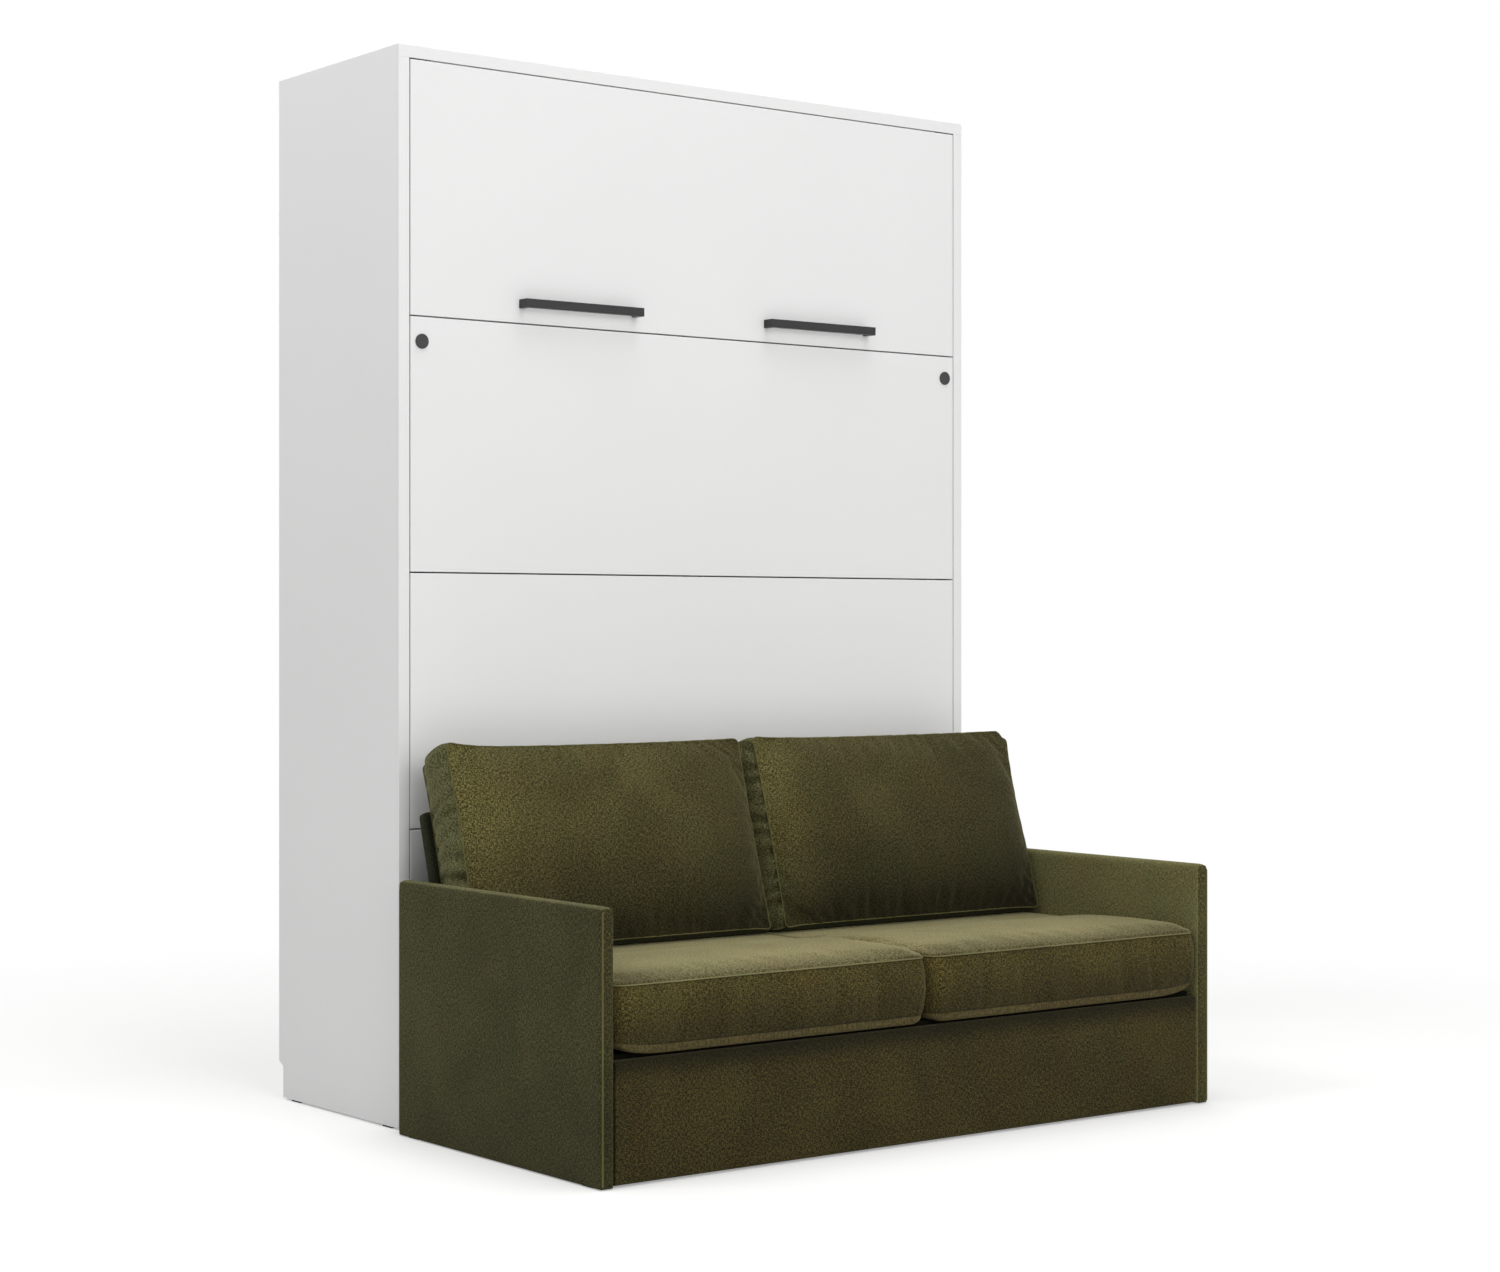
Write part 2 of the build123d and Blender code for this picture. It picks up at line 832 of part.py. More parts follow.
def build_strut_upper_studs():
    # Plate on the side panel with a stud through the upper eye
    plate_face = inner_half_width - anchor_plate_thickness
    stud_end = strut_offset_x - strut_eye_thickness / 2 - 2 * stud_head
    with BuildPart() as piece:
        with BuildSketch(section_plane(plate_face)):
            with Locations((strut_anchor_depth, strut_anchor_height)):
                RectangleRounded(anchor_plate, anchor_plate, anchor_plate_round)
        extrude(amount=anchor_plate_thickness)
        with BuildSketch(section_plane(stud_end)):
            with Locations((strut_anchor_depth, strut_anchor_height)):
                Circle(strut_stud_radius)
        extrude(amount=plate_face - stud_end)
        with BuildSketch(section_plane(stud_end)):
            with Locations((strut_anchor_depth, strut_anchor_height)):
                Circle(stud_head_radius)
        extrude(amount=stud_head)
        mirror(about=Plane.YZ)
    save(piece, "strut_upper_studs")


def build_strut_lower_studs():
    # Round plate and stud on the rail; the stud stops just short of the socket on the rod
    stud_end = strut_offset_x - rod_end_thickness / 2 - collar_gap
    with BuildPart() as piece:
        with BuildSketch(section_plane(frame_half_width)):
            with Locations(lower_stud):
                Circle(lower_plate_radius)
        extrude(amount=lower_plate_thickness)
        with BuildSketch(section_plane(frame_half_width)):
            with Locations(lower_stud):
                Circle(strut_stud_radius)
        extrude(amount=stud_end - frame_half_width)
        mirror(about=Plane.YZ)
    save(piece, "strut_lower_studs")


for side, sign in sides:
    build_strut_cylinder(side, sign)
    build_strut_rod(side, sign)
build_strut_upper_studs()
build_strut_lower_studs()


# Pull-out legs

leg_draw = (pivot_height - pivot_depth - leg_cap_thickness - leg_cap_gap) / leg_stages
print("each leg draw slides", leg_draw)


def draw_radius(stage):
    # Outer radius of the sleeve (stage 0) and of each draw inside it
    return leg_sleeve_radius - stage * (leg_wall + leg_step)


def leg_tube(centres, stage, start, length):
    outer = draw_radius(stage)
    with BuildPart() as piece:
        with BuildSketch(elevation_plane(start + length)):
            with Locations(*[(x, leg_height) for x in centres]):
                Circle(outer)
                Circle(outer - leg_wall, mode=Mode.SUBTRACT)
        extrude(amount=length)
    return piece


def build_leg_cap(side, x):
    back = -leg_cap_gap
    spigot_radius = draw_radius(leg_stages) - leg_wall
    with BuildPart() as piece:
        with BuildSketch(elevation_plane(back)):
            with Locations((x, leg_height)):
                Circle(leg_cap_radius)
        extrude(amount=leg_cap_thickness)
        chamfer(piece.edges().group_by(Axis.Y)[0], length=leg_cap_chamfer)
        with BuildSketch(elevation_plane(back + leg_cap_spigot)):
            with Locations((x, leg_height)):
                Circle(spigot_radius)
        extrude(amount=leg_cap_spigot)
    save(piece, f"leg_foot_{side}")


def build_leg_clamps():
    with BuildPart() as piece:
        with BuildSketch(elevation_plane(clamp_start + clamp_length)):
            with Locations((leg_centre_x, leg_height)):
                Circle(clamp_radius)
            with Locations(((frame_half_width + leg_centre_x) / 2, leg_height)):
                Rectangle(leg_centre_x - frame_half_width, clamp_height)
            with Locations((leg_centre_x, leg_height)):
                Circle(leg_sleeve_radius, mode=Mode.SUBTRACT)
        extrude(amount=clamp_length)
        mirror(about=Plane.YZ)
    save(piece, "leg_clamps")


save(leg_tube((-leg_centre_x, leg_centre_x), 0, leg_front_set, leg_sleeve_length), "leg_sleeves")
for side, sign in sides:
    leg_x = sign * leg_centre_x
    save(leg_tube((leg_x,), 1, leg_front_set, leg_draw_length), f"leg_draw_one_{side}")
    save(leg_tube((leg_x,), 2, leg_front_set, leg_draw_length), f"leg_draw_two_{side}")
    save(leg_tube((leg_x,), leg_stages, -leg_cap_gap, leg_draw_length), f"leg_draw_three_{side}")
    build_leg_cap(side, leg_x)
build_leg_clamps()


# Sofa body

def build_arm(side, sign):
    # Upholstered board, its edges softened by the padding
    with BuildPart() as piece:
        with BuildSketch(section_plane(sign * arm_inner)):
            with BuildLine():
                Polyline(
                    (-sofa_gap, glide_height),
                    (-sofa_gap, arm_top),
                    (-sofa_projection, arm_top),
                    (-sofa_projection, glide_height),
                    close=True,
                )
            make_face()
        extrude(amount=sign * arm_thickness)
        bottom = piece.faces().sort_by(Axis.Z)[0]
        fillet(piece.edges() - bottom.edges(), radius=arm_round)
    save(piece, f"arm_{side}")


def build_apron():
    front = -sofa_projection + apron_set
    with BuildPart() as piece:
        with BuildSketch(section_plane(-base_half)):
            with BuildLine():
                Polyline(
                    (front + apron_thickness, apron_foot),
                    (front + apron_thickness, apron_top),
                    (front, apron_top),
                    (front, apron_foot),
                    close=True,
                )
            make_face()
        extrude(amount=2 * base_half)
        front_face = piece.faces().sort_by(Axis.Y)[0]
        fillet(front_face.edges().filter_by(Axis.X), radius=apron_round)
    save(piece, "apron")


def build_deck_battens():
    front = -sofa_projection + apron_set + apron_thickness
    rear = -rear_panel_front
    top = deck_top - deck_thickness
    with BuildPart() as piece:
        with BuildSketch(plan_plane(top - deck_batten_height)):
            places = (-deck_batten_spread, 0, deck_batten_spread)
            with Locations(*[(x, (front + rear) / 2) for x in places]):
                Rectangle(deck_batten_width, rear - front)
        extrude(amount=deck_batten_height)
    save(piece, "deck_battens")


def build_link_brackets():
    # Steel brackets that tie the rear panel of the sofa to the plinth of the cabinet
    rear = -rear_panel_front + rear_panel_thickness
    top = link_height + link_flange
    with BuildPart() as piece:
        for x in (-link_spread, link_spread):
            with BuildSketch(section_plane(x - link_width / 2)):
                with BuildLine():
                    Polyline(
                        (rear, top),
                        (rear, link_height),
                        (0, link_height),
                        (0, top),
                        (-link_steel, top),
                        (-link_steel, link_height + link_steel),
                        (rear + link_steel, link_height + link_steel),
                        (rear + link_steel, top),
                        close=True,
                    )
                make_face()
            extrude(amount=link_width)
    save(piece, "link_brackets")


for side, sign in sides:
    build_arm(side, sign)
build_apron()
rear_panel_back = -rear_panel_front + rear_panel_thickness
deck_front = -sofa_projection + apron_set + apron_thickness
base_span = (-base_half, base_half)
save(board(base_span, (-rear_panel_front, rear_panel_back), (rear_panel_foot, rear_panel_top)), "rear_panel")
save(board(base_span, (deck_front, -rear_panel_front), (deck_top - deck_thickness, deck_top)), "seat_deck")
build_deck_battens()
build_link_brackets()


# Folding backrest

lean = radians(backrest_lean)


def backrest_plane(x):
    # Sketch x is across the backrest (towards the wall), sketch y runs up along its leaning face
    origin = (x, front_y + backrest_axis_depth, backrest_axis_height)
    return Plane(origin=origin, x_dir=(0, cos(lean), -sin(lean)), z_dir=(1, 0, 0))


def build_backrest():
    with BuildPart() as piece:
        with BuildSketch(backrest_plane(-backrest_half_width)):
            with Locations((0, (backrest_start + backrest_end) / 2)):
                Rectangle(backrest_thickness, backrest_end - backrest_start)
        extrude(amount=2 * backrest_half_width)
        fillet(piece.edges(), radius=backrest_round)
    save(piece, "backrest")


hinge_centres = (-hinge_spread, 0, hinge_spread)


def build_hinge_knuckles():
    # Fixed knuckles stand on the top edge of the rear panel, one each side of the moving one
    with BuildPart() as piece:
        for centre in hinge_centres:
            inner = hinge_knuckle_half + hinge_side_gap
            for start in (centre - inner - hinge_fixed_knuckle, centre + inner):
                with BuildSketch(section_plane(start)):
                    with Locations((backrest_axis_depth, backrest_axis_height)):
                        Circle(hinge_knuckle_radius)
                    rise = backrest_axis_height - rear_panel_top
                    with Locations((backrest_axis_depth, rear_panel_top + rise / 2)):
                        Rectangle(hinge_web, rise)
                    with Locations((backrest_axis_depth, backrest_axis_height)):
                        Circle(hinge_pin_radius, mode=Mode.SUBTRACT)
                extrude(amount=hinge_fixed_knuckle)
    save(piece, "hinge_knuckles")


def build_hinge_pins():
    half = hinge_knuckle_half + hinge_side_gap + hinge_fixed_knuckle
    with BuildPart() as piece:
        for centre in hinge_centres:
            with BuildSketch(section_plane(centre - half)):
                with Locations((backrest_axis_depth, backrest_axis_height)):
                    Circle(hinge_pin_radius)
            extrude(amount=2 * half)
    save(piece, "hinge_pins")


def build_hinge_leaves():
    # Moving knuckle, neck and foot plate under the lower edge of the backrest
    with BuildPart() as piece:
        for centre in hinge_centres:
            with BuildSketch(backrest_plane(centre - hinge_knuckle_half)):
                Circle(hinge_knuckle_radius)
                with Locations((0, backrest_start / 2)):
                    Rectangle(hinge_neck, backrest_start)
                with Locations((0, backrest_start - hinge_foot / 2)):
                    Rectangle(hinge_foot_width, hinge_foot)
                Circle(hinge_pin_radius + running_clearance, mode=Mode.SUBTRACT)
            extrude(amount=2 * hinge_knuckle_half)
    save(piece, "hinge_leaves")


build_backrest()
build_hinge_knuckles()
build_hinge_pins()
build_hinge_leaves()


# Seat cushions

def cushion_stations(x0, x1, corner):
    # Places of the cross-sections with how far each one is drawn in and how much crown it has
    half = (x1 - x0) / 2
    ends = [
        (0, 1, 0),
        (corner * near_corner_share, near_corner_draw_share, near_corner_crown_share),
        (corner, 0, corner_crown_share),
        (half * side_place_share, 0, side_crown_share),
        (half * inner_place_share, 0, inner_crown_share),
    ]
    first = [(x0 + offset, draw, crown) for offset, draw, crown in ends]
    last = [(x1 - offset, draw, crown) for offset, draw, crown in reversed(ends)]
    return first + [(x0 + half, 0, 1)] + last


def build_seat_cushion(side, sign):
    inner_x = sign * seat_centre_gap / 2
    outer_x = sign * (arm_inner - seat_side_gap)
    stations = cushion_stations(min(inner_x, outer_x), max(inner_x, outer_x), seat_corner)
    front = -sofa_projection + seat_front_set
    floor_level = deck_top + soft_gap
    with BuildPart() as piece:
        for x, draw, crown in stations:
            inset = draw * seat_side_draw
            fill = seat_front_fill_share + (1 - seat_front_fill_share) * crown
            bulge = (seat_front_set + seat_bulge) * fill - inset
            crown_top = seat_shoulder_height + seat_crown_rise * crown - inset
            low = floor_level + inset
            rear = -seat_rear_depth - inset
            top = seat_rear_level - inset
            under_front = (front + seat_under_front, low)
            under_arc = (
                front + seat_under_front * arc_share + inset,
                (low + seat_seam_low) / 2 - seat_bulge * arc_share,
            )
            seam_low = (front + inset, seat_seam_low)
            front_arc = (front - bulge, (seat_seam_low + seat_seam_high) / 2)
            seam_high = (front + inset, seat_seam_high - inset / 2)
            shoulder = (front + seat_shoulder_depth, seat_shoulder_height - inset)
            shoulder_arc = (
                front + seat_shoulder_depth * shoulder_share + inset / 2,
                seat_shoulder_height - seat_shoulder_rise * shoulder_share - inset,
            )
            rear_top = (-seat_rear_depth - seat_rear_flat, top)
            crown_arc = ((shoulder[0] + rear_top[0]) / 2, crown_top)
            with BuildSketch(section_plane(x)):
                with BuildLine():
                    ThreePointArc(under_front, under_arc, seam_low)
                    ThreePointArc(seam_low, front_arc, seam_high)
                    ThreePointArc(seam_high, shoulder_arc, shoulder)
                    ThreePointArc(shoulder, crown_arc, rear_top)
                    Polyline(
                        rear_top,
                        (rear - seat_rear_round, top),
                        (rear, top - seat_rear_round),
                        (rear, low + seat_rear_round),
                        (rear - seat_rear_round, low),
                        under_front,
                    )
                make_face()
        loft(ruled=True)
    save(piece, f"seat_cushion_{side}")


# Back cushions

def leaning_point(across, along):
    # A point given across and along the leaning backrest, as depth and height
    depth = backrest_axis_depth + along * sin(lean) + across * cos(lean)
    height = backrest_axis_height + along * cos(lean) - across * sin(lean)
    return (depth, height)


def foot_point(across, level):
    # The point on a line parallel to the backrest where it meets a level
    along = (level - backrest_axis_height + across * sin(lean)) / cos(lean)
    return leaning_point(across, along)


def build_back_cushion(side, sign):
    inner_x = sign * back_centre_gap / 2
    outer_x = sign * (arm_inner - back_side_gap)
    stations = cushion_stations(min(inner_x, outer_x), max(inner_x, outer_x), back_corner)
    rear = -backrest_thickness / 2 - soft_gap
    face = rear - back_gusset
    arc_inset = back_rounding * arc_share
    with BuildPart() as piece:
        for x, draw, crown in stations:
            inset = draw * back_side_draw
            foot = back_foot_level + inset
            near = face + inset
            far = rear - inset
            top = back_top - inset
            fill = back_side_fill_share + (1 - back_side_fill_share) * crown
            low_along = (foot + back_rounding - backrest_axis_height + near * sin(lean)) / cos(lean)
            face_middle = (low_along + top - back_rounding) / 2
            front_foot = foot_point(near + back_rounding, foot)
            seam_foot = foot_point(near, foot + back_rounding)
            seam_top = leaning_point(near, top - back_rounding)
            crest = leaning_point(near + back_rounding, top)
            crest_rear = leaning_point(far - back_rounding, top)
            rear_top = leaning_point(far, top - back_rounding)
            puff = leaning_point((near + far) / 2, top + back_top_puff * (arc_share + crown))
            with BuildSketch(section_plane(x)):
                with BuildLine():
                    ThreePointArc(front_foot, foot_point(near + arc_inset, foot + arc_inset), seam_foot)
                    ThreePointArc(seam_foot, leaning_point(near - back_crown * fill, face_middle), seam_top)
                    ThreePointArc(seam_top, leaning_point(near + arc_inset, top - arc_inset), crest)
                    ThreePointArc(crest, puff, crest_rear)
                    ThreePointArc(crest_rear, leaning_point(far - arc_inset, top - arc_inset), rear_top)
                    Polyline(rear_top, foot_point(far, foot), front_foot)
                make_face()
        loft(ruled=True)
    save(piece, f"back_cushion_{side}")


for side, sign in sides:
    build_seat_cushion(side, sign)
    build_back_cushion(side, sign)
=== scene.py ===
import json
import math

import bpy
import numpy as np
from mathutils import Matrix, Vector, noise

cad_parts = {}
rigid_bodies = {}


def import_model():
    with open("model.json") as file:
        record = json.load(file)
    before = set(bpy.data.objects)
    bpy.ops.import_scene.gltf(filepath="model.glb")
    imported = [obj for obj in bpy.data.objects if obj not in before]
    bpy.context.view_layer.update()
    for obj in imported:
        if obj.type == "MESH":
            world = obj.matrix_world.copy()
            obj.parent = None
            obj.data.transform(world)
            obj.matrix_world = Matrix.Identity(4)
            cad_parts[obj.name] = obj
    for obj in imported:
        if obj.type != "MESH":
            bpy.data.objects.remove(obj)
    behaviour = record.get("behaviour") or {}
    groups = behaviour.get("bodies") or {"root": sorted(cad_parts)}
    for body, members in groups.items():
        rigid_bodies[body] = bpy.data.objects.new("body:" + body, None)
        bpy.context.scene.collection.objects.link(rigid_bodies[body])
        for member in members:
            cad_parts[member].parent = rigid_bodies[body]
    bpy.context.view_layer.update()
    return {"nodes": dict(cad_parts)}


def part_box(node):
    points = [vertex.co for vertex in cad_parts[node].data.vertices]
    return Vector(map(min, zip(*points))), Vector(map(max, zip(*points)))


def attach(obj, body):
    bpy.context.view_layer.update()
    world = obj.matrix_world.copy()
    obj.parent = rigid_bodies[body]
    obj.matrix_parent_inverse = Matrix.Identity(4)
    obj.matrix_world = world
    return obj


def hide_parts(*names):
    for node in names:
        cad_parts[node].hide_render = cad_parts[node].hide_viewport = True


for leftover in list(bpy.data.objects):  # the start-up cube, lamp and camera
    bpy.data.objects.remove(leftover)

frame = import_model()
cadNodes = frame["nodes"]
scene = bpy.context.scene


# Small tools

def fromHex(text):
    # sRGB hex to the linear colour that a shader works in
    channels = [int(text[i:i + 2], 16) / 255 for i in (1, 3, 5)]
    return [c / 12.92 if c <= 0.04045 else ((c + 0.055) / 1.055) ** 2.4 for c in channels] + [1.0]


def addNode(tree, kind, settings=None):
    # A key is one of the node's properties, or an input by name or number. Its value is plain, a hex colour,
    # or a link: a socket, or another node for its first output. Properties come before inputs.
    node = tree.nodes.new(kind)
    for key, value in (settings or {}).items():
        if isinstance(value, bpy.types.Node):
            value = value.outputs[0]
        elif isinstance(value, str) and value.startswith("#"):
            value = fromHex(value)
        if isinstance(value, bpy.types.NodeSocket):
            tree.links.new(value, node.inputs[key])
        elif isinstance(key, str) and hasattr(node, key):
            setattr(node, key, value)
        else:
            node.inputs[key].default_value = value
    return node


def startMaterial(name, settings):
    # A new material with its shader; the finish's own nodes are added by who calls
    material = bpy.data.materials.new(name)
    material.use_nodes = True
    tree = material.node_tree
    tree.nodes.clear()
    shader = addNode(tree, "ShaderNodeBsdfPrincipled", settings)
    addNode(tree, "ShaderNodeOutputMaterial", {"Surface": shader})
    return material, tree, addNode(tree, "ShaderNodeTexCoord").outputs


def keepMesh(name, mesh):
    piece = bpy.data.objects.new(name, mesh)
    scene.collection.objects.link(piece)
    return piece


def readPoints(mesh):
    points = np.empty(len(mesh.vertices) * 3)
    mesh.vertices.foreach_get("co", points)
    return points.reshape(-1, 3)


def smoothLine(at, knots):
    # A smooth curve through (place, value) knots, level past its ends
    xs, ys = np.array(knots, float).T
    slopes = np.gradient(ys, xs)
    at = np.clip(at, xs[0], xs[-1])
    k = np.clip(np.searchsorted(xs, at) - 1, 0, len(xs) - 2)
    width = xs[k + 1] - xs[k]
    t = (at - xs[k]) / width
    return ((2 * t**3 - 3 * t**2 + 1) * ys[k] + (t**3 - 2 * t**2 + t) * width * slopes[k]
            + (3 * t**2 - 2 * t**3) * ys[k + 1] + (t**3 - t**2) * width * slopes[k + 1])


def fade(distance, reach):
    # From 1 at no distance down to about a third at the reach, and on towards 0
    return np.exp(-distance / reach)


def bell(distance, reach):
    # Like fade, but round at the top and lost sooner past the reach
    return np.exp(-(distance / reach) ** 2)


# Camera and light, first, because every piece is judged through them

view = {
    "lens": 67.43,  # mm, from the photograph's vanishing points
    "sensor": 36,
    "place": (-3.7159, -4.6947, 1.0084),
    "turn": -36.374,  # degrees from looking along +Y
    "shift": (0.0734, -0.0055),
}

cameraData = bpy.data.cameras.new("viewCamera")
cameraData.lens, cameraData.sensor_width = view["lens"], view["sensor"]
cameraData.shift_x, cameraData.shift_y = view["shift"]
camera = bpy.data.objects.new("viewCamera", cameraData)
camera.location = view["place"]
camera.rotation_euler = (math.radians(90), 0, math.radians(view["turn"]))
scene.collection.objects.link(camera)
scene.camera = camera
scene.view_settings.view_transform = "Standard"

studio = {
    "lamps": (
        # name, place, aimed at, size in m, watts, colour
        ("keyLamp", (-1.3, -6.2, 3.8), (0.0, 0.0, 1.0), 3.0, 58, "#FFFFFF"),
        ("fillLamp", (-0.4, -6.4, 2.1), (0.0, 0.0, 0.8), 3.2, 68, "#FFFFFF"),
        ("sideLamp", (-3.6, 0.2, 4.6), (-0.7, 0.3, 2.1), 1.6, 66, "#FFFFFF"),
        ("topLamp", (0.0, -1.2, 5.8), (0.0, -0.4, 0.4), 2.0, 68, "#FFFFFF"),
    ),
    "horizonLevel": 0.49,
    "zenithLevel": 0.65,
    "leftLevel": 0.43,  # the studio's left wall is this much darker than the rest
    "floorTones": ("#E4E4E3", "#E8E8E7"),
    "floorGlow": 0.3,  # what the camera sees on top of the light, so that the floor comes out white
    "floorFades": (1.5, 3.4),  # m from the middle, where the floor melts into the backdrop
    "floorReach": 14.0,
}

for name, place, target, size, watts, tint in studio["lamps"]:
    lampData = bpy.data.lights.new(name, "AREA")
    lampData.energy, lampData.size, lampData.color = watts, size, fromHex(tint)[:3]
    lamp = bpy.data.objects.new(name, lampData)
    lamp.location = place
    lamp.rotation_euler = (Vector(target) - Vector(place)).to_track_quat("-Z", "Y").to_euler()
    scene.collection.objects.link(lamp)

world = bpy.data.worlds.new("paleStudio")
scene.world = world
world.use_nodes = True
tree = world.node_tree
tree.nodes.clear()
ray = addNode(tree, "ShaderNodeLightPath").outputs
seen = addNode(tree, "ShaderNodeMath", {
    "operation": "MAXIMUM", 0: ray["Is Camera Ray"], 1: ray["Is Glossy Ray"]})
seen = addNode(tree, "ShaderNodeMath", {"operation": "MAXIMUM", 0: seen, 1: ray["Is Transmission Ray"]})
place = addNode(tree, "ShaderNodeTexCoord").outputs
way = addNode(tree, "ShaderNodeSeparateXYZ", {0: place["Generated"]}).outputs
level = addNode(tree, "ShaderNodeMapRange", {
    "Value": way["Z"], "To Min": studio["horizonLevel"], "To Max": studio["zenithLevel"]})
leftward = addNode(tree, "ShaderNodeMapRange", {
    "interpolation_type": "SMOOTHSTEP", "Value": way["X"], "From Min": -1.0, "From Max": -0.1,
    "To Min": studio["leftLevel"], "To Max": 1.0})
level = addNode(tree, "ShaderNodeMath", {"operation": "MULTIPLY", 0: level, 1: leftward})
soft = addNode(tree, "ShaderNodeBackground", {"Color": "#FFFFFF", "Strength": level})
white = addNode(tree, "ShaderNodeBackground", {"Color": "#FFFFFF", "Strength": 1.0})
both = addNode(tree, "ShaderNodeMixShader", {0: seen, 1: soft, 2: white})
addNode(tree, "ShaderNodeOutputWorld", {"Surface": both})

# Painted studio floor: matt, keeps the shadow, and reads as white to the camera
floorMaterial, tree, place = startMaterial("paintedFloor", {"Roughness": 0.9})
shader = tree.nodes["Principled BSDF"]
specks = addNode(tree, "ShaderNodeTexNoise", {"Vector": place["Object"], "Scale": 3.0, "Detail": 4.0})
tone = addNode(tree, "ShaderNodeMix", {
    "data_type": "RGBA", 0: specks, 6: studio["floorTones"][0], 7: studio["floorTones"][1]})
tree.links.new(tone.outputs[2], shader.inputs["Base Color"])
cameraRay = addNode(tree, "ShaderNodeLightPath").outputs["Is Camera Ray"]
glowLevel = addNode(tree, "ShaderNodeMath", {"operation": "MULTIPLY", 0: cameraRay, 1: studio["floorGlow"]})
glow = addNode(tree, "ShaderNodeEmission", {"Color": "#FFFFFF", "Strength": glowLevel})
nearFloor = addNode(tree, "ShaderNodeAddShader", {0: shader, 1: glow})
# further out the floor melts into the white backdrop
away = addNode(tree, "ShaderNodeVectorMath", {"operation": "LENGTH", 0: place["Object"]}).outputs["Value"]
away = addNode(tree, "ShaderNodeMapRange", {
    "interpolation_type": "SMOOTHSTEP", "Value": away, "From Min": studio["floorFades"][0],
    "From Max": studio["floorFades"][1]})
away = addNode(tree, "ShaderNodeMath", {"operation": "MULTIPLY", 0: away, 1: cameraRay})
farFloor = addNode(tree, "ShaderNodeEmission", {"Color": "#FFFFFF", "Strength": 1.0})
wholeFloor = addNode(tree, "ShaderNodeMixShader", {0: away, 1: nearFloor, 2: farFloor})
tree.links.new(wholeFloor.outputs[0], tree.nodes["Material Output"].inputs["Surface"])

floorMesh = bpy.data.meshes.new("studioFloor")
reach = studio["floorReach"]
floorCorners = [(-reach, -reach, 0), (reach, -reach, 0), (reach, reach, 0), (-reach, reach, 0)]
floorMesh.from_pydata(floorCorners, [], [(0, 1, 2, 3)])
floorMesh.materials.append(floorMaterial)
keepMesh("studioFloor", floorMesh)
print("camera, lamps and floor are up")


# Finishes

def endMaterial(material, tone, height, strength, depth, roughness=None):
    # Joins a finish's colour, its relief and, where it varies, its roughness to the shader
    tree = material.node_tree
    shader = tree.nodes["Principled BSDF"]
    relief = addNode(tree, "ShaderNodeBump", {"Strength": strength, "Distance": depth, "Height": height})
    tree.links.new(tone, shader.inputs["Base Color"])
    tree.links.new(relief.outputs[0], shader.inputs["Normal"])
    if roughness is not None:
        tree.links.new(roughness.outputs[0], shader.inputs["Roughness"])
    return material


def makeMelamine():
    # Matt melamine foil on chipboard: a pearly pressed texture about 1.5 mm across, nearly no gloss
    material, tree, place = startMaterial("mattMelamine", {"IOR": 1.5, "Roughness": 0.5})
    pearl = addNode(tree, "ShaderNodeTexNoise", {"Vector": place["Object"], "Scale": 650.0, "Detail": 2.0})
    cloud = addNode(tree, "ShaderNodeTexNoise", {"Vector": place["Object"], "Scale": 2.2, "Detail": 2.0})
    tone = addNode(tree, "ShaderNodeMix", {"data_type": "RGBA", 0: cloud, 6: "#ECECEC", 7: "#F0F0F0"})
    dull = addNode(tree, "ShaderNodeMapRange", {
        "Value": pearl, "From Min": 0.3, "From Max": 0.7, "To Min": 0.46, "To Max": 0.56})
    return endMaterial(material, tone.outputs[2], pearl, 0.25, 0.0001, dull)


chenille = {
    "yarn": 0.0019,  # m; the real yarns lie 1.6 mm apart, and these wider, so that the render shows them
    "slub": 0.0060,  # the length over which a yarn keeps its tone
    "contrast": (0.8, 1.2),  # of the two yarns' sum, from the dark tone to the light one
    "cloud": 0.13,  # how far the nap shifts the tone
    "patch": (13.0, 13.0, 8.0),  # patches a hand wide where the nap turns greener or browner
}


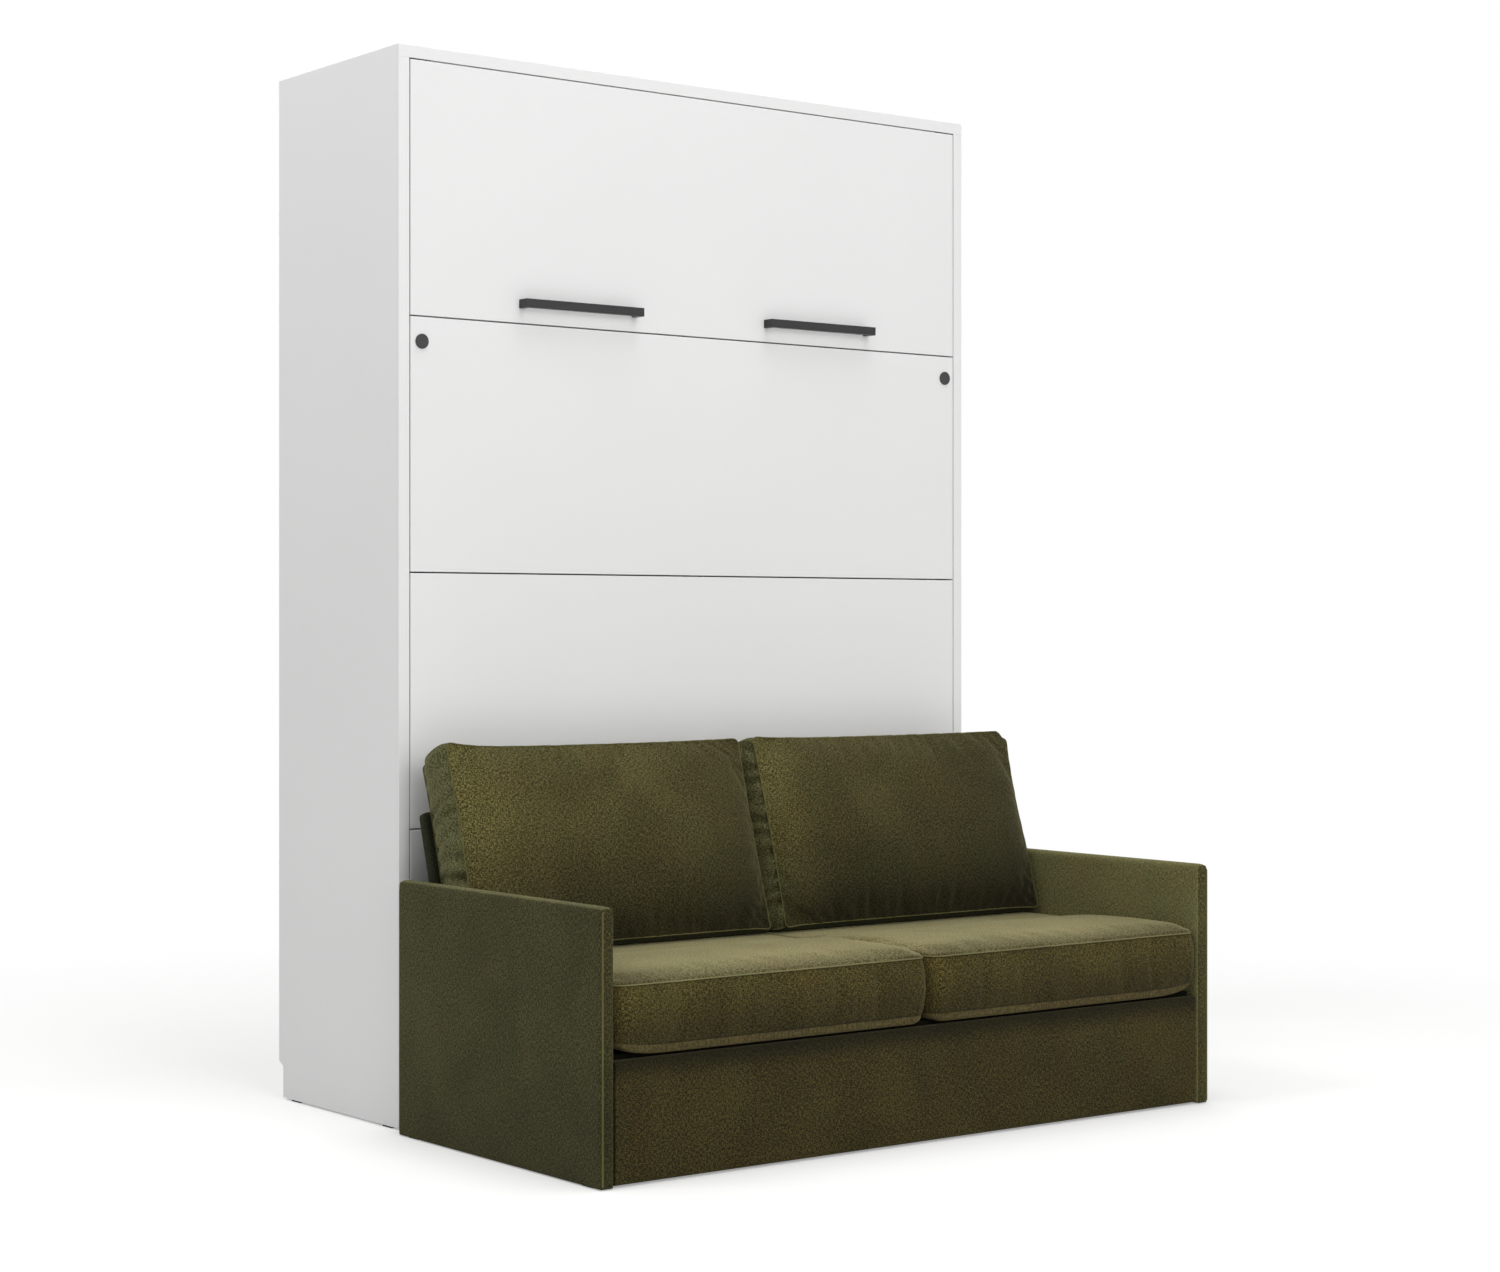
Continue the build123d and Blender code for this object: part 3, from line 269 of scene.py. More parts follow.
def makeChenille(name, dark, middle, light, sheen, paintedShades=(), fuzz=0.45):
    # Woven chenille: fuzzy warp and weft yarns crossing in three olive tones, a dull silky rim
    material, tree, place = startMaterial(name, {
        "Roughness": 0.88, "Sheen Weight": sheen, "Sheen Roughness": 0.45, "Sheen Tint": "#B9B58C",
        "Specular IOR Level": 0.15})
    fine, long = 1 / chenille["yarn"], 1 / chenille["slub"]
    threads = []
    for scale in ((fine, long, 1.0), (long, fine, 1.0)):
        run = addNode(tree, "ShaderNodeMapping", {"Vector": place["UV"], "Scale": scale})
        threads.append(addNode(tree, "ShaderNodeTexNoise", {
            "noise_dimensions": "2D", "Vector": run, "Scale": 1.0, "Detail": 1.0}))
    both = addNode(tree, "ShaderNodeMath", {"operation": "ADD", 0: threads[0], 1: threads[1]})
    weave = addNode(tree, "ShaderNodeMapRange", {
        "Value": both, "From Min": chenille["contrast"][0], "From Max": chenille["contrast"][1]})
    nap = addNode(tree, "ShaderNodeTexNoise", {
        "Vector": place["Object"], "Scale": 7.0, "Detail": 2.0, "Distortion": 0.4})
    cloud = addNode(tree, "ShaderNodeMapRange", {
        "Value": nap, "From Min": 0.32, "From Max": 0.68, "To Min": -chenille["cloud"],
        "To Max": chenille["cloud"]})
    level = addNode(tree, "ShaderNodeMath", {"operation": "ADD", "use_clamp": True, 0: weave, 1: cloud})
    low = addNode(tree, "ShaderNodeMapRange", {"Value": level, "From Max": 0.5})
    high = addNode(tree, "ShaderNodeMapRange", {"Value": level, "From Min": 0.5})
    tone = addNode(tree, "ShaderNodeMix", {"data_type": "RGBA", 0: low, 6: dark, 7: middle})
    tone = addNode(tree, "ShaderNodeMix", {"data_type": "RGBA", 0: high, 6: tone.outputs[2], 7: light})
    turned = addNode(tree, "ShaderNodeMapping", {
        "Vector": place["Object"], "Location": (3.1, 1.7, 0.4), "Scale": chenille["patch"]})
    turned = addNode(tree, "ShaderNodeTexNoise", {"Vector": turned, "Scale": 1.0, "Detail": 2.0})
    turned = addNode(tree, "ShaderNodeMapRange", {"Value": turned, "From Min": 0.35, "From Max": 0.65})
    tint = addNode(tree, "ShaderNodeMix", {"data_type": "RGBA", 0: turned, 6: "#F9FFF7", 7: "#FFFBF1"})
    tone = addNode(tree, "ShaderNodeMix", {
        "data_type": "RGBA", "blend_type": "MULTIPLY", 0: 1.0, 6: tone.outputs[2], 7: tint.outputs[2]})
    # painted light and shade: along an axis, from one place to another, the colour is scaled from one share
    # to another
    spot = addNode(tree, "ShaderNodeSeparateXYZ", {0: place["Object"]}).outputs
    colour = tone.outputs[2]
    for axis, start, end, startShare, endShare in paintedShades:
        share = addNode(tree, "ShaderNodeMapRange", {
            "interpolation_type": "SMOOTHSTEP", "Value": spot[axis], "From Min": start, "From Max": end,
            "To Min": startShare, "To Max": endShare})
        colour = addNode(tree, "ShaderNodeVectorMath", {"operation": "SCALE", 0: colour, "Scale": share})
        colour = colour.outputs[0]
    return endMaterial(material, colour, weave, fuzz, 0.0008)


def makeTicking():
    # Knitted mattress ticking: off-white, fine ribs 3 mm apart, a soft matt surface
    material, tree, place = startMaterial("knittedTicking", {
        "Roughness": 0.9, "Sheen Weight": 0.25, "Sheen Roughness": 0.5, "Specular IOR Level": 0.2})
    ribs = addNode(tree, "ShaderNodeMapping", {"Vector": place["Object"], "Scale": (330.0, 60.0, 110.0)})
    knit = addNode(tree, "ShaderNodeTexNoise", {"Vector": ribs, "Scale": 1.0, "Detail": 3.0})
    cloud = addNode(tree, "ShaderNodeTexNoise", {"Vector": place["Object"], "Scale": 5.0, "Detail": 3.0})
    tone = addNode(tree, "ShaderNodeMix", {"data_type": "RGBA", 0: knit, 6: "#CFCBC0", 7: "#E4E1D8"})
    tone = addNode(tree, "ShaderNodeMix", {
        "data_type": "RGBA", "blend_type": "MULTIPLY", 0: cloud, 6: tone.outputs[2], 7: "#F2EFE6"})
    return endMaterial(material, tone.outputs[2], knit, 0.35, 0.0006)


def makeGrained(name, dark, light, grain, settings, depth=0.0001, strength=0.3):
    # A surface whose colour and gloss run in fine grains, by their scale: brushed, cast, moulded or sprayed
    material, tree, place = startMaterial(name, settings)
    stretch = addNode(tree, "ShaderNodeMapping", {"Vector": place["Object"], "Scale": grain})
    lines = addNode(tree, "ShaderNodeTexNoise", {"Vector": stretch, "Scale": 1.0, "Detail": 3.0})
    wear = addNode(tree, "ShaderNodeTexNoise", {"Vector": place["Object"], "Scale": 14.0, "Detail": 4.0})
    tone = addNode(tree, "ShaderNodeMix", {"data_type": "RGBA", 0: lines, 6: dark, 7: light})
    rough = settings["Roughness"]
    dull = addNode(tree, "ShaderNodeMapRange", {
        "Value": wear, "From Min": 0.3, "From Max": 0.7, "To Min": rough - 0.07, "To Max": rough + 0.07})
    return endMaterial(material, tone.outputs[2], lines, strength, depth, dull)


def makeBirch():
    # Sprung birch laminate: straight pale grain along the slat, its plies 1.6 mm thick on the long edges
    material, tree, place = startMaterial("birchLaminate", {"Roughness": 0.42, "Coat Weight": 0.2})
    along = addNode(tree, "ShaderNodeMapping", {"Vector": place["Object"], "Scale": (5.0, 260.0, 150.0)})
    grain = addNode(tree, "ShaderNodeTexNoise", {
        "Vector": along, "Scale": 1.0, "Detail": 5.0, "Distortion": 0.4})
    spot = addNode(tree, "ShaderNodeSeparateXYZ", {0: place["Object"]}).outputs
    ply = addNode(tree, "ShaderNodeMath", {"operation": "PINGPONG", 0: spot["Y"], 1: 0.0008})
    glueLine = addNode(tree, "ShaderNodeMapRange", {
        "Value": ply, "From Min": 0.0, "From Max": 0.00018, "To Min": 0.55, "To Max": 0.0})
    tone = addNode(tree, "ShaderNodeMix", {"data_type": "RGBA", 0: grain, 6: "#C9A878", 7: "#E2C89C"})
    tone = addNode(tree, "ShaderNodeMix", {
        "data_type": "RGBA", 0: glueLine, 6: tone.outputs[2], 7: "#8A6438"})
    return endMaterial(material, tone.outputs[2], grain, 0.2, 0.0002)


def makeWebbing():
    # Woven polyester strap: ribs across it every 2 mm, with a darker line between two ribs
    material, tree, place = startMaterial("wovenWebbing", {
        "Roughness": 0.75, "Sheen Weight": 0.15, "Sheen Roughness": 0.4})
    ribs = addNode(tree, "ShaderNodeTexWave", {
        "wave_type": "BANDS", "bands_direction": "DIAGONAL", "Vector": place["Object"], "Scale": 100.0,
        "Distortion": 0.6, "Detail": 2.0}).outputs["Fac"]
    tone = addNode(tree, "ShaderNodeMix", {"data_type": "RGBA", 0: ribs, 6: "#151518", 7: "#3A3A3E"})
    return endMaterial(material, tone.outputs[2], ribs, 0.5, 0.0005)


# Three tones and the sheen of the cushion faces and of the seat bands: one cloth set down in lit and shaded
# copies, with painted shadow lines in both of the bands' seams and painted light towards the bands' tops
faceTones = ("#2C2810", "#464022", "#68613C", 0.3)
bandTones = ("#1F1B09", "#332C12", "#4F4726", 0.2)
bandSeamShade = (("Z", 0.25, 0.36, 0.77, 1.48), ("Z", 0.3585, 0.3625, 1.0, 0.7), ("Z", 0.2525, 0.2565, 0.6, 1.0))

chenilleFinishes = {
    # Cushion faces: painted shade towards the foot and towards each cushion's right, and a painted highlight
    # where each cushion's left edge turns to the light
    "chenilleFaceLeft": (*faceTones, (("Z", 0.36, 0.66, 0.34, 1.0), ("X", -0.85, 0.6, 1.04, 0.70),
                                      ("X", -0.735, -0.58, 1.42, 1.0), ("X", -0.30, 0.0, 1.0, 0.76))),
    "chenilleFaceRight": (*faceTones, (("Z", 0.36, 0.66, 0.29, 1.0), ("X", -0.85, 0.6, 1.04, 0.72),
                                       ("X", 0.03, 0.16, 1.55, 1.0), ("X", 0.42, 0.76, 1.0, 0.76))),
    # Seat tops: a lighter copy of the cloth, painted light from above, with painted shade at the front roll,
    # at both ends and towards the back cushions
    "chenilleTopLit": ("#534C31", "#776E4C", "#9B9169", 0.65, (
        ("Y", -0.609, -0.535, 0.56, 1.0), ("X", -0.76, -0.5, 0.7, 1.0), ("X", 0.0, 0.45, 1.0, 0.93),
        ("X", 0.45, 0.76, 1.0, 0.82), ("Y", -0.50, -0.39, 1.0, 0.84)), 0.22),
    # Cord in the seats' upper seam: the lit seat-top tones without their shade, a painted highlight along the
    # seam
    "chenilleCordLit": ("#5D583A", "#777250", "#908A64", 0.3),
    # Seat bands: painted shadow lines in both seams, painted light towards the top, and a painted highlight
    # where each cushion's left end turns to the light
    "chenilleBandLeft": (*bandTones, (*bandSeamShade, ("X", -0.757, -0.66, 1.16, 1.0))),
    "chenilleBandRight": (*bandTones, (*bandSeamShade, ("X", 0.005, 0.10, 1.28, 1.0))),
    # Outer arms and rear panel: a darker, greener shaded copy of the cloth, with painted shade towards the
    # floor
    "chenilleGreen": ("#262613", "#3B3A22", "#575438", 0.2, (("Z", 0.02, 0.3, 0.86, 1.0),)),
    # Back cushions' gussets and the left arm's top: a lighter copy of the same cloth, painted light
    "chenilleGussetLit": ("#3B3A21", "#565438", "#757251", 0.25),
    # Inner faces of the arms and the right arm's top: a lighter, greyer copy of the cloth, painted light
    "chenilleInnerLit": ("#555234", "#6C6846", "#817C56", 0.25),
    # Apron: a deep brown shaded copy of the cloth, with painted shade, nearly black, along its top under the
    # seats
    "chenilleApronShaded": ("#1F1B09", "#322B11", "#4E4625", 0.2, (("Z", 0.176, 0.227, 1.0, 0.3),)),
    # Front ends of the arms: the cloth is drawn round them; painted light towards the top and on the right
    # arm's end, painted shade low down and on the left arm's end
    "chenilleEndShaded": ("#272411", "#3B371D", "#585433", 0.2, (("Z", 0.08, 0.49, 0.8, 1.15),
                                                           ("X", -0.7, 0.7, 0.74, 1.12))),
    # Painted shade: a near-black copy of the cloth for the folding backrest behind the cushions and for the
    # back cushions' feet
    "chenilleInShade": ("#12130A", "#1D1F13", "#2E301F", 0.12),
    # Folded edges of the back cushions and the arms' seams: a lighter copy of the cloth, a painted highlight
    # along the seam
    "chenilleWeltLit": ("#444225", "#5F5B39", "#7C7750", 0.3),
    # The rolled lip under the seats, where the cloth turns under: a lighter, greyer copy of the cloth,
    # painted light
    "chenilleLipLit": ("#403720", "#4C4229", "#5A5133", 0.12),
}

grainedFinishes = {
    # Lining over the spring deck: thin black-brown woven cloth, made near black so that it stands for the
    # shadow in the gap under the seats: partly the lining's own colour, partly painted shade
    "deckLiningShadowDark": ("#0B0A06", "#14120B", (500.0, 500.0, 500.0),
                   {"Roughness": 0.95, "Specular IOR Level": 0.1}, 0.0003, 0.5),
    # Spun sewing thread: fine fibres, a shade lighter than the cloth
    "spunThread": ("#4A4526", "#7A7448", (900.0, 900.0, 900.0), {"Roughness": 0.7}),
    # Plywood and battens: uncoated, flat grain along the width
    "plainPlywood": ("#A98256", "#D2B184", (7.0, 150.0, 150.0), {"Roughness": 0.7}, 0.0003, 0.4),
    # Brushed graphite anodising on aluminium: fine lines along the bar
    "brushedGraphite": ("#2E2E2F", "#4A4A4B", (14.0, 2200.0, 2200.0), {"Metallic": 0.75, "Roughness": 0.42},
                        0.00006, 0.4),
    # Powder coat on steel tube: even orange peel about 1 mm across
    "greyPowderCoat": ("#6E7073", "#7F8184", (900.0, 900.0, 900.0), {"Roughness": 0.5}, 0.0002, 0.5),
    "darkPowderCoat": ("#2C2C2E", "#3B3B3E", (900.0, 900.0, 900.0), {"Roughness": 0.5}, 0.0002, 0.5),
    # Drawn steel tube: lines along the draw, an oily grey
    "drawnSteel": ("#8E9092", "#BABCBE", (900.0, 25.0, 900.0), {"Metallic": 1.0, "Roughness": 0.3},
                   0.00005, 0.3),
    # Moulded nylon: spark-eroded mould texture, near black
    "mouldedNylon": ("#2A2A2B", "#3E3E40", (1500.0, 1500.0, 1500.0), {"Roughness": 0.55}, 0.00015, 0.5),
    # Zinc plating: bluish grey with small crystals
    "zincPlate": ("#8F9499", "#C9CCCE", (260.0, 260.0, 260.0), {"Metallic": 1.0, "Roughness": 0.36},
                  0.00006, 0.3),
    # Uncoloured nylon bush: milky, with a little light inside
    "naturalNylon": ("#D2CDBB", "#E6E2D2", (700.0, 700.0, 700.0),
                     {"Roughness": 0.4, "Subsurface Weight": 0.05}),
    # Moulded slat holder: black with a dull skin
    "blackPolypropylene": ("#161617", "#242426", (1100.0, 1100.0, 1100.0), {"Roughness": 0.5}, 0.00015, 0.5),
    # Rubber stop: black and quite matt
    "stopRubber": ("#1B1B1B", "#2A2A2A", (800.0, 800.0, 800.0), {"Roughness": 0.8}, 0.0002, 0.5),
    # Stoved enamel on the strut: glossy black with a little dust in it
    "blackEnamel": ("#0C0C0D", "#18181A", (400.0, 400.0, 400.0), {"Roughness": 0.22, "Coat Weight": 0.5},
                    0.00003, 0.2),
    # Hard chrome on the strut's rod: a bright mirror with faint polishing lines
    "hardChrome": ("#C9CBCD", "#E6E8EA", (60.0, 1800.0, 1800.0), {"Metallic": 1.0, "Roughness": 0.12},
                   0.00001, 0.1),
}

finishes = {"mattMelamine": makeMelamine(), "knittedTicking": makeTicking(), "wovenWebbing": makeWebbing(),
            "birchLaminate": makeBirch()}
finishes.update({name: makeChenille(name, *values) for name, values in chenilleFinishes.items()})
finishes.update({name: makeGrained(name, *values) for name, values in grainedFinishes.items()})

finishBySlot = {
    "cabinet_white": "mattMelamine", "raw_board": "plainPlywood", "slat_birch": "birchLaminate",
    "olive_weave": "chenilleGreen", "mattress_ticking": "knittedTicking", "strap_webbing": "wovenWebbing",
    "handle_graphite": "brushedGraphite", "frame_grey": "greyPowderCoat", "leg_graphite": "darkPowderCoat",
    "leg_steel": "drawnSteel", "leg_cap": "mouldedNylon", "zinc_steel": "zincPlate",
    "bush_nylon": "naturalNylon", "holder_black": "blackPolypropylene", "stop_rubber": "stopRubber",
    "strut_black": "blackEnamel", "rod_chrome": "hardChrome",
}

for node in cadNodes.values():
    for slotNumber, material in enumerate(list(node.data.materials)):
        slotName = material.name.split(".")[0]
        node.material_slots[slotNumber].material = finishes[finishBySlot[slotName]]
# the deck takes the near-black lining: painted shade in the gap under the seats
cadNodes["seat_deck"].material_slots[0].material = finishes["deckLiningShadowDark"]

# The white boards' banded edges are eased by 1.2 mm, which draws a fine line where two boards meet
easedEdge = {
    "boards": ("top_panel", "side_panel_left", "side_panel_right", "front_board_top", "front_board_upper",
               "front_board_lower", "front_board_bottom"),
    "width": 0.0012, "segments": 2, "sharperThan": math.radians(50),
}
for name in easedEdge["boards"]:
    eased = cadNodes[name].modifiers.new("easedEdge", "BEVEL")
    eased.width, eased.segments, eased.limit_method = easedEdge["width"], easedEdge["segments"], "ANGLE"
    eased.angle_limit = easedEdge["sharperThan"]
print("finishes:", len(finishes), "materials")


# Sewn blocks: a closed net of cells over a block, cut closer near its edges, where the seams run

otherAxes = ((1, 2), (2, 0), (0, 1))


def graded(start, end, cell, edges=(0.0015, 0.004, 0.009)):
    # Cuts from start to end a cell apart, with closer ones at these distances from either end
    close = np.array(edges[:-1])
    middle = np.linspace(start + edges[-1], end - edges[-1], max(2, round((end - start) / cell)))
    return np.concatenate([[start], start + close, middle, end - close[::-1], [end]])


def placeOn(axis, end, i, j):
    # The place, in the three lists, of a point on the panel across an axis
    place = [0, 0, 0]
    place[axis] = end
    place[otherAxes[axis][0]], place[otherAxes[axis][1]] = i, j
    return tuple(place)


def blockNet(xs, ys, zs):
    # Points, faces, each face's panel (left, right, front, rear, bottom or top), and each point's number by
    # its place in the three lists
    lists, numbers, flat, faces, panels = (xs, ys, zs), {}, [], [], []

    def pointAt(place):
        if place not in numbers:
            numbers[place] = len(flat)
            flat.append([lists[axis][place[axis]] for axis in range(3)])
        return numbers[place]

    for axis, (first, second) in enumerate(otherAxes):
        for end in (0, 1):
            last = end * (len(lists[axis]) - 1)
            for i in range(len(lists[first]) - 1):
                for j in range(len(lists[second]) - 1):
                    corners = [pointAt(placeOn(axis, last, i + di, j + dj))
                               for di, dj in ((0, 0), (1, 0), (1, 1), (0, 1))]
                    faces.append(corners if end else corners[::-1])
                    panels.append(2 * axis + end)
    return {"flat": np.array(flat), "faces": faces, "panels": np.array(panels), "numbers": numbers,
            "counts": tuple(len(line) for line in lists)}


def seamRing(net, axis, end, inset=0):
    # The points round one panel's edge, in order, or round a line some cells inside it
    first, second = (net["counts"][other] - 1 - inset for other in otherAxes[axis])
    walk = [(i, inset) for i in range(inset, first)] + [(first, j) for j in range(inset, second)]
    walk += [(i, second) for i in range(first, inset, -1)] + [(inset, j) for j in range(second, inset, -1)]
    last = end * (net["counts"][axis] - 1)
    return [net["numbers"][placeOn(axis, last, i, j)] for i, j in walk]


def roundPair(points, a, b, low, high, radius):
    # Rounds the four block edges between two axes; squares near an edge become arcs
    inA = np.clip(points[:, a], low[a] + radius, high[a] - radius)
    inB = np.clip(points[:, b], low[b] + radius, high[b] - radius)
    da, db = points[:, a] - inA, points[:, b] - inB
    length = np.hypot(da, db)
    share = np.where(length > 1e-9, np.maximum(abs(da), abs(db)) / np.maximum(length, 1e-9), 1.0)
    points[:, a], points[:, b] = inA + da * share, inB + db * share
    return points


def netPiece(name, net, points, materials, byPanel=(0, 0, 0, 0, 0, 0)):
    # The net as a mesh, with each panel's flat cut as its UV map in metres, so that the weave runs with
    # the cloth
    mesh = bpy.data.meshes.new(name)
    mesh.from_pydata(points.tolist(), [], net["faces"])
    panels, corners = net["panels"], net["flat"][np.array(net["faces"])]
    across = np.array([1, 1, 0, 0, 0, 0])[panels]
    up = np.array([2, 2, 2, 2, 1, 1])[panels]
    uv = np.stack([np.take_along_axis(corners, way[:, None, None], 2)[..., 0] for way in (across, up)], -1)
    uv[..., 0] += (panels * 0.37)[:, None]  # no two panels show the same piece of the weave
    mesh.uv_layers.new(name="UVMap").data.foreach_set("uv", uv.astype(np.float32).ravel())
    for material in materials:
        mesh.materials.append(finishes[material])
    mesh.polygons.foreach_set("material_index", np.array(byPanel, np.int32)[panels])
    mesh.shade_smooth()
    return keepMesh(name, mesh)


def movePoints(piece, points):
    piece.data.vertices.foreach_set("co", np.asarray(points, np.float32).ravel())
    piece.data.update()


coverCloth = {
    "quality": 4, "mass": 0.25, "tension_stiffness": 12, "compression_stiffness": 12, "shear_stiffness": 6,
    "bending_stiffness": 0.6, "tension_damping": 8, "compression_damping": 8, "shear_damping": 8,
    "use_pressure": True,
}
coverSteps = 20


def blowUp(piece, held, pressure, spare, caps):
    # Cloth under pressure with its seams held; spare is how much wider the cover is cut than the seams allow,
    # and caps is how far each point may go
    start = readPoints(piece.data)
    group = piece.vertex_groups.new(name="held")
    group.add([int(i) for i in np.flatnonzero(held)], 1.0, "REPLACE")
    cloth = piece.modifiers.new("cover", "CLOTH")
    cover = cloth.settings
    for setting, value in coverCloth.items():
        setattr(cover, setting, value)
    cover.uniform_pressure_force, cover.shrink_min = pressure, -spare
    cover.effector_weights.gravity = 0
    cover.vertex_group_mass = "held"
    cloth.collision_settings.use_collision = False
    cloth.point_cache.frame_start, cloth.point_cache.frame_end = 1, coverSteps
    for step in range(1, coverSteps + 1):
        scene.frame_set(step)
    after = readPoints(piece.evaluated_get(bpy.context.evaluated_depsgraph_get()).data)
    piece.modifiers.remove(cloth)
    piece.vertex_groups.remove(group)
    scene.frame_set(1)
    move = after - start
    length = np.maximum(np.linalg.norm(move, axis=1), 1e-9)
    move *= (np.tanh(length / caps) * caps / length)[:, None]
    movePoints(piece, start + move)


def pushOut(piece, amounts):
    # Moves each point along its own normal
    normals = np.empty(len(piece.data.vertices) * 3)
    piece.data.vertices.foreach_get("normal", normals)
    movePoints(piece, readPoints(piece.data) + normals.reshape(-1, 3) * amounts[:, None])


def ripple(points, scale, seed):
    # Smooth noise at each point, about -1 to 1, with its own stretch along each axis
    stretched = points * np.array(scale) + seed
    return np.array([noise.noise(Vector(p)) for p in stretched])


def softenMesh(piece):
    smoother = piece.modifiers.new("soften", "SUBSURF")
    smoother.levels = smoother.render_levels = 1


# Node trees for what follows a line: welts, stitches and straps; slats; and the quilted mattress

def startTree(name, inputs):
    # A tree with a start shape, the inputs by name and a material
    tree = bpy.data.node_groups.new(name, "GeometryNodeTree")
    for label, kind in {"Geometry": "Geometry", **inputs, "Material": "Material"}.items():
        tree.interface.new_socket(label, in_out="INPUT", socket_type="NodeSocket" + kind)
    tree.interface.new_socket("Geometry", in_out="OUTPUT", socket_type="NodeSocketGeometry")
    return tree, addNode(tree, "NodeGroupInput").outputs


def endTree(tree, geometry, given):
    # Every tree ends as real mesh with its material set
    real = addNode(tree, "GeometryNodeRealizeInstances", {0: geometry})
    dressed = addNode(tree, "GeometryNodeSetMaterial", {"Geometry": real, "Material": given["Material"]})
    addNode(tree, "NodeGroupOutput", {0: dressed})
    return tree


def growPiece(name, tree, values, start=None):
    # Runs a tree on a start shape, keeps the result as a plain mesh and drops the carrier
    carrier = keepMesh(name + "Start", start or bpy.data.meshes.new(name + "Start"))
    grower = carrier.modifiers.new("grow", "NODES")
    grower.node_group = tree
    for socket in tree.interface.items_tree:
        if socket.in_out == "INPUT" and socket.name in values:
            grower[socket.identifier] = values[socket.name]
    carrier.data.update_tag()
    depsgraph = bpy.context.evaluated_depsgraph_get()
    mesh = bpy.data.meshes.new_from_object(carrier.evaluated_get(depsgraph), preserve_all_data_layers=True,
                                           depsgraph=depsgraph)
    bpy.data.objects.remove(carrier)
    mesh.name = name
    mesh.shade_smooth()
    return keepMesh(name, mesh)


def lineCurve(name, points, closed=True):
    curve = bpy.data.curves.new(name, "CURVE")
    curve.dimensions = "3D"
    spline = curve.splines.new("POLY")
    spline.points.add(len(points) - 1)
    for spot, point in zip(spline.points, points):
        spot.co = (*point, 1.0)
    spline.use_cyclic_u = closed
    return curve


def centredLine(tree, axis, length):
    # A straight line along an axis, half of it to either side of the middle
    ends = []
    for share in (-0.5, 0.5):
        reach = addNode(tree, "ShaderNodeMath", {"operation": "MULTIPLY", 0: length, 1: share})
        ends.append(addNode(tree, "ShaderNodeCombineXYZ", {axis: reach}))
    return addNode(tree, "GeometryNodeCurvePrimitiveLine", {"Start": ends[0], "End": ends[1]})


def roundedBand(tree, width, height, thickness, share, corners):
    # A flat section whose corners are rounded by a share of its thickness
    band = addNode(tree, "GeometryNodeCurvePrimitiveQuadrilateral", {"Width": width, "Height": height})
    rounding = addNode(tree, "ShaderNodeMath", {"operation": "MULTIPLY", 0: thickness, 1: share})
    return addNode(tree, "GeometryNodeFilletCurve", {
        "mode": "POLY", "Count": corners, "Curve": band, "Radius": rounding})


def makeWeltTree():
    # A round cord of cloth swept along a seam
    tree, given = startTree("weltAlongSeam", {"Radius": "Float", "Step": "Float"})
    line = addNode(tree, "GeometryNodeResampleCurve", {
        "mode": "LENGTH", "Curve": given["Geometry"], "Length": given["Step"]})
    ring = addNode(tree, "GeometryNodeCurvePrimitiveCircle", {"Resolution": 8, "Radius": given["Radius"]})
    cord = addNode(tree, "GeometryNodeCurveToMesh", {"Fill Caps": True, "Curve": line, "Profile Curve": ring})
    return endTree(tree, cord, given)


def makeStitchTree():
    # Short thread capsules set along a seam, each a little out of line
    tree, given = startTree("stitchesAlongSeam", {
        "Pitch": "Float", "Length": "Float", "Thickness": "Float", "Seed": "Int"})
    spots = addNode(tree, "GeometryNodeCurveToPoints", {
        "mode": "LENGTH", "Curve": given["Geometry"], "Length": given["Pitch"]}).outputs
    core = centredLine(tree, "Z", given["Length"])
    core = addNode(tree, "GeometryNodeResampleCurve", {"Count": 4, "Curve": core})
    along = addNode(tree, "GeometryNodeSplineParameter").outputs["Factor"]
    swell = addNode(tree, "ShaderNodeMath", {"operation": "PINGPONG", 0: along, 1: 0.5})
    swell = addNode(tree, "ShaderNodeMapRange", {
        "Value": swell, "From Max": 0.34, "To Min": 0.35, "To Max": 1.0})
    thick = addNode(tree, "ShaderNodeMath", {"operation": "MULTIPLY", 0: swell, 1: given["Thickness"]})
    ring = addNode(tree, "GeometryNodeCurvePrimitiveCircle", {"Resolution": 5, "Radius": 0.5})
    capsule = addNode(tree, "GeometryNodeCurveToMesh", {
        "Fill Caps": True, "Curve": core, "Profile Curve": ring, "Scale": thick})
    slack = addNode(tree, "FunctionNodeRandomValue", {
        "data_type": "FLOAT_VECTOR", 0: (-0.12, -0.12, -0.12), 1: (0.12, 0.12, 0.12), "Seed": given["Seed"]})
    stitches = addNode(tree, "GeometryNodeInstanceOnPoints", {
        "Points": spots["Points"], "Instance": capsule, "Rotation": spots["Rotation"]})
    loose = addNode(tree, "GeometryNodeRotateInstances", {"Instances": stitches, "Rotation": slack})
    return endTree(tree, loose, given)


def makeStrapTree():
    # A flat band swept along a path, its corners eased
    tree, given = startTree("strapAlongPath", {"Width": "Float", "Thickness": "Float", "Bend": "Float"})
    path = addNode(tree, "GeometryNodeFilletCurve", {
        "mode": "POLY", "Count": 8, "Curve": given["Geometry"], "Radius": given["Bend"]})
    path = addNode(tree, "GeometryNodeSetCurveNormal", {
        "mode": "FREE", "Normal": (0.0, 0.0, 1.0), "Curve": path})
    band = roundedBand(tree, given["Width"], given["Thickness"], given["Thickness"], 0.4, 2)
    strap = addNode(tree, "GeometryNodeCurveToMesh", {
        "Fill Caps": True, "Curve": path, "Profile Curve": band})
    return endTree(tree, strap, given)


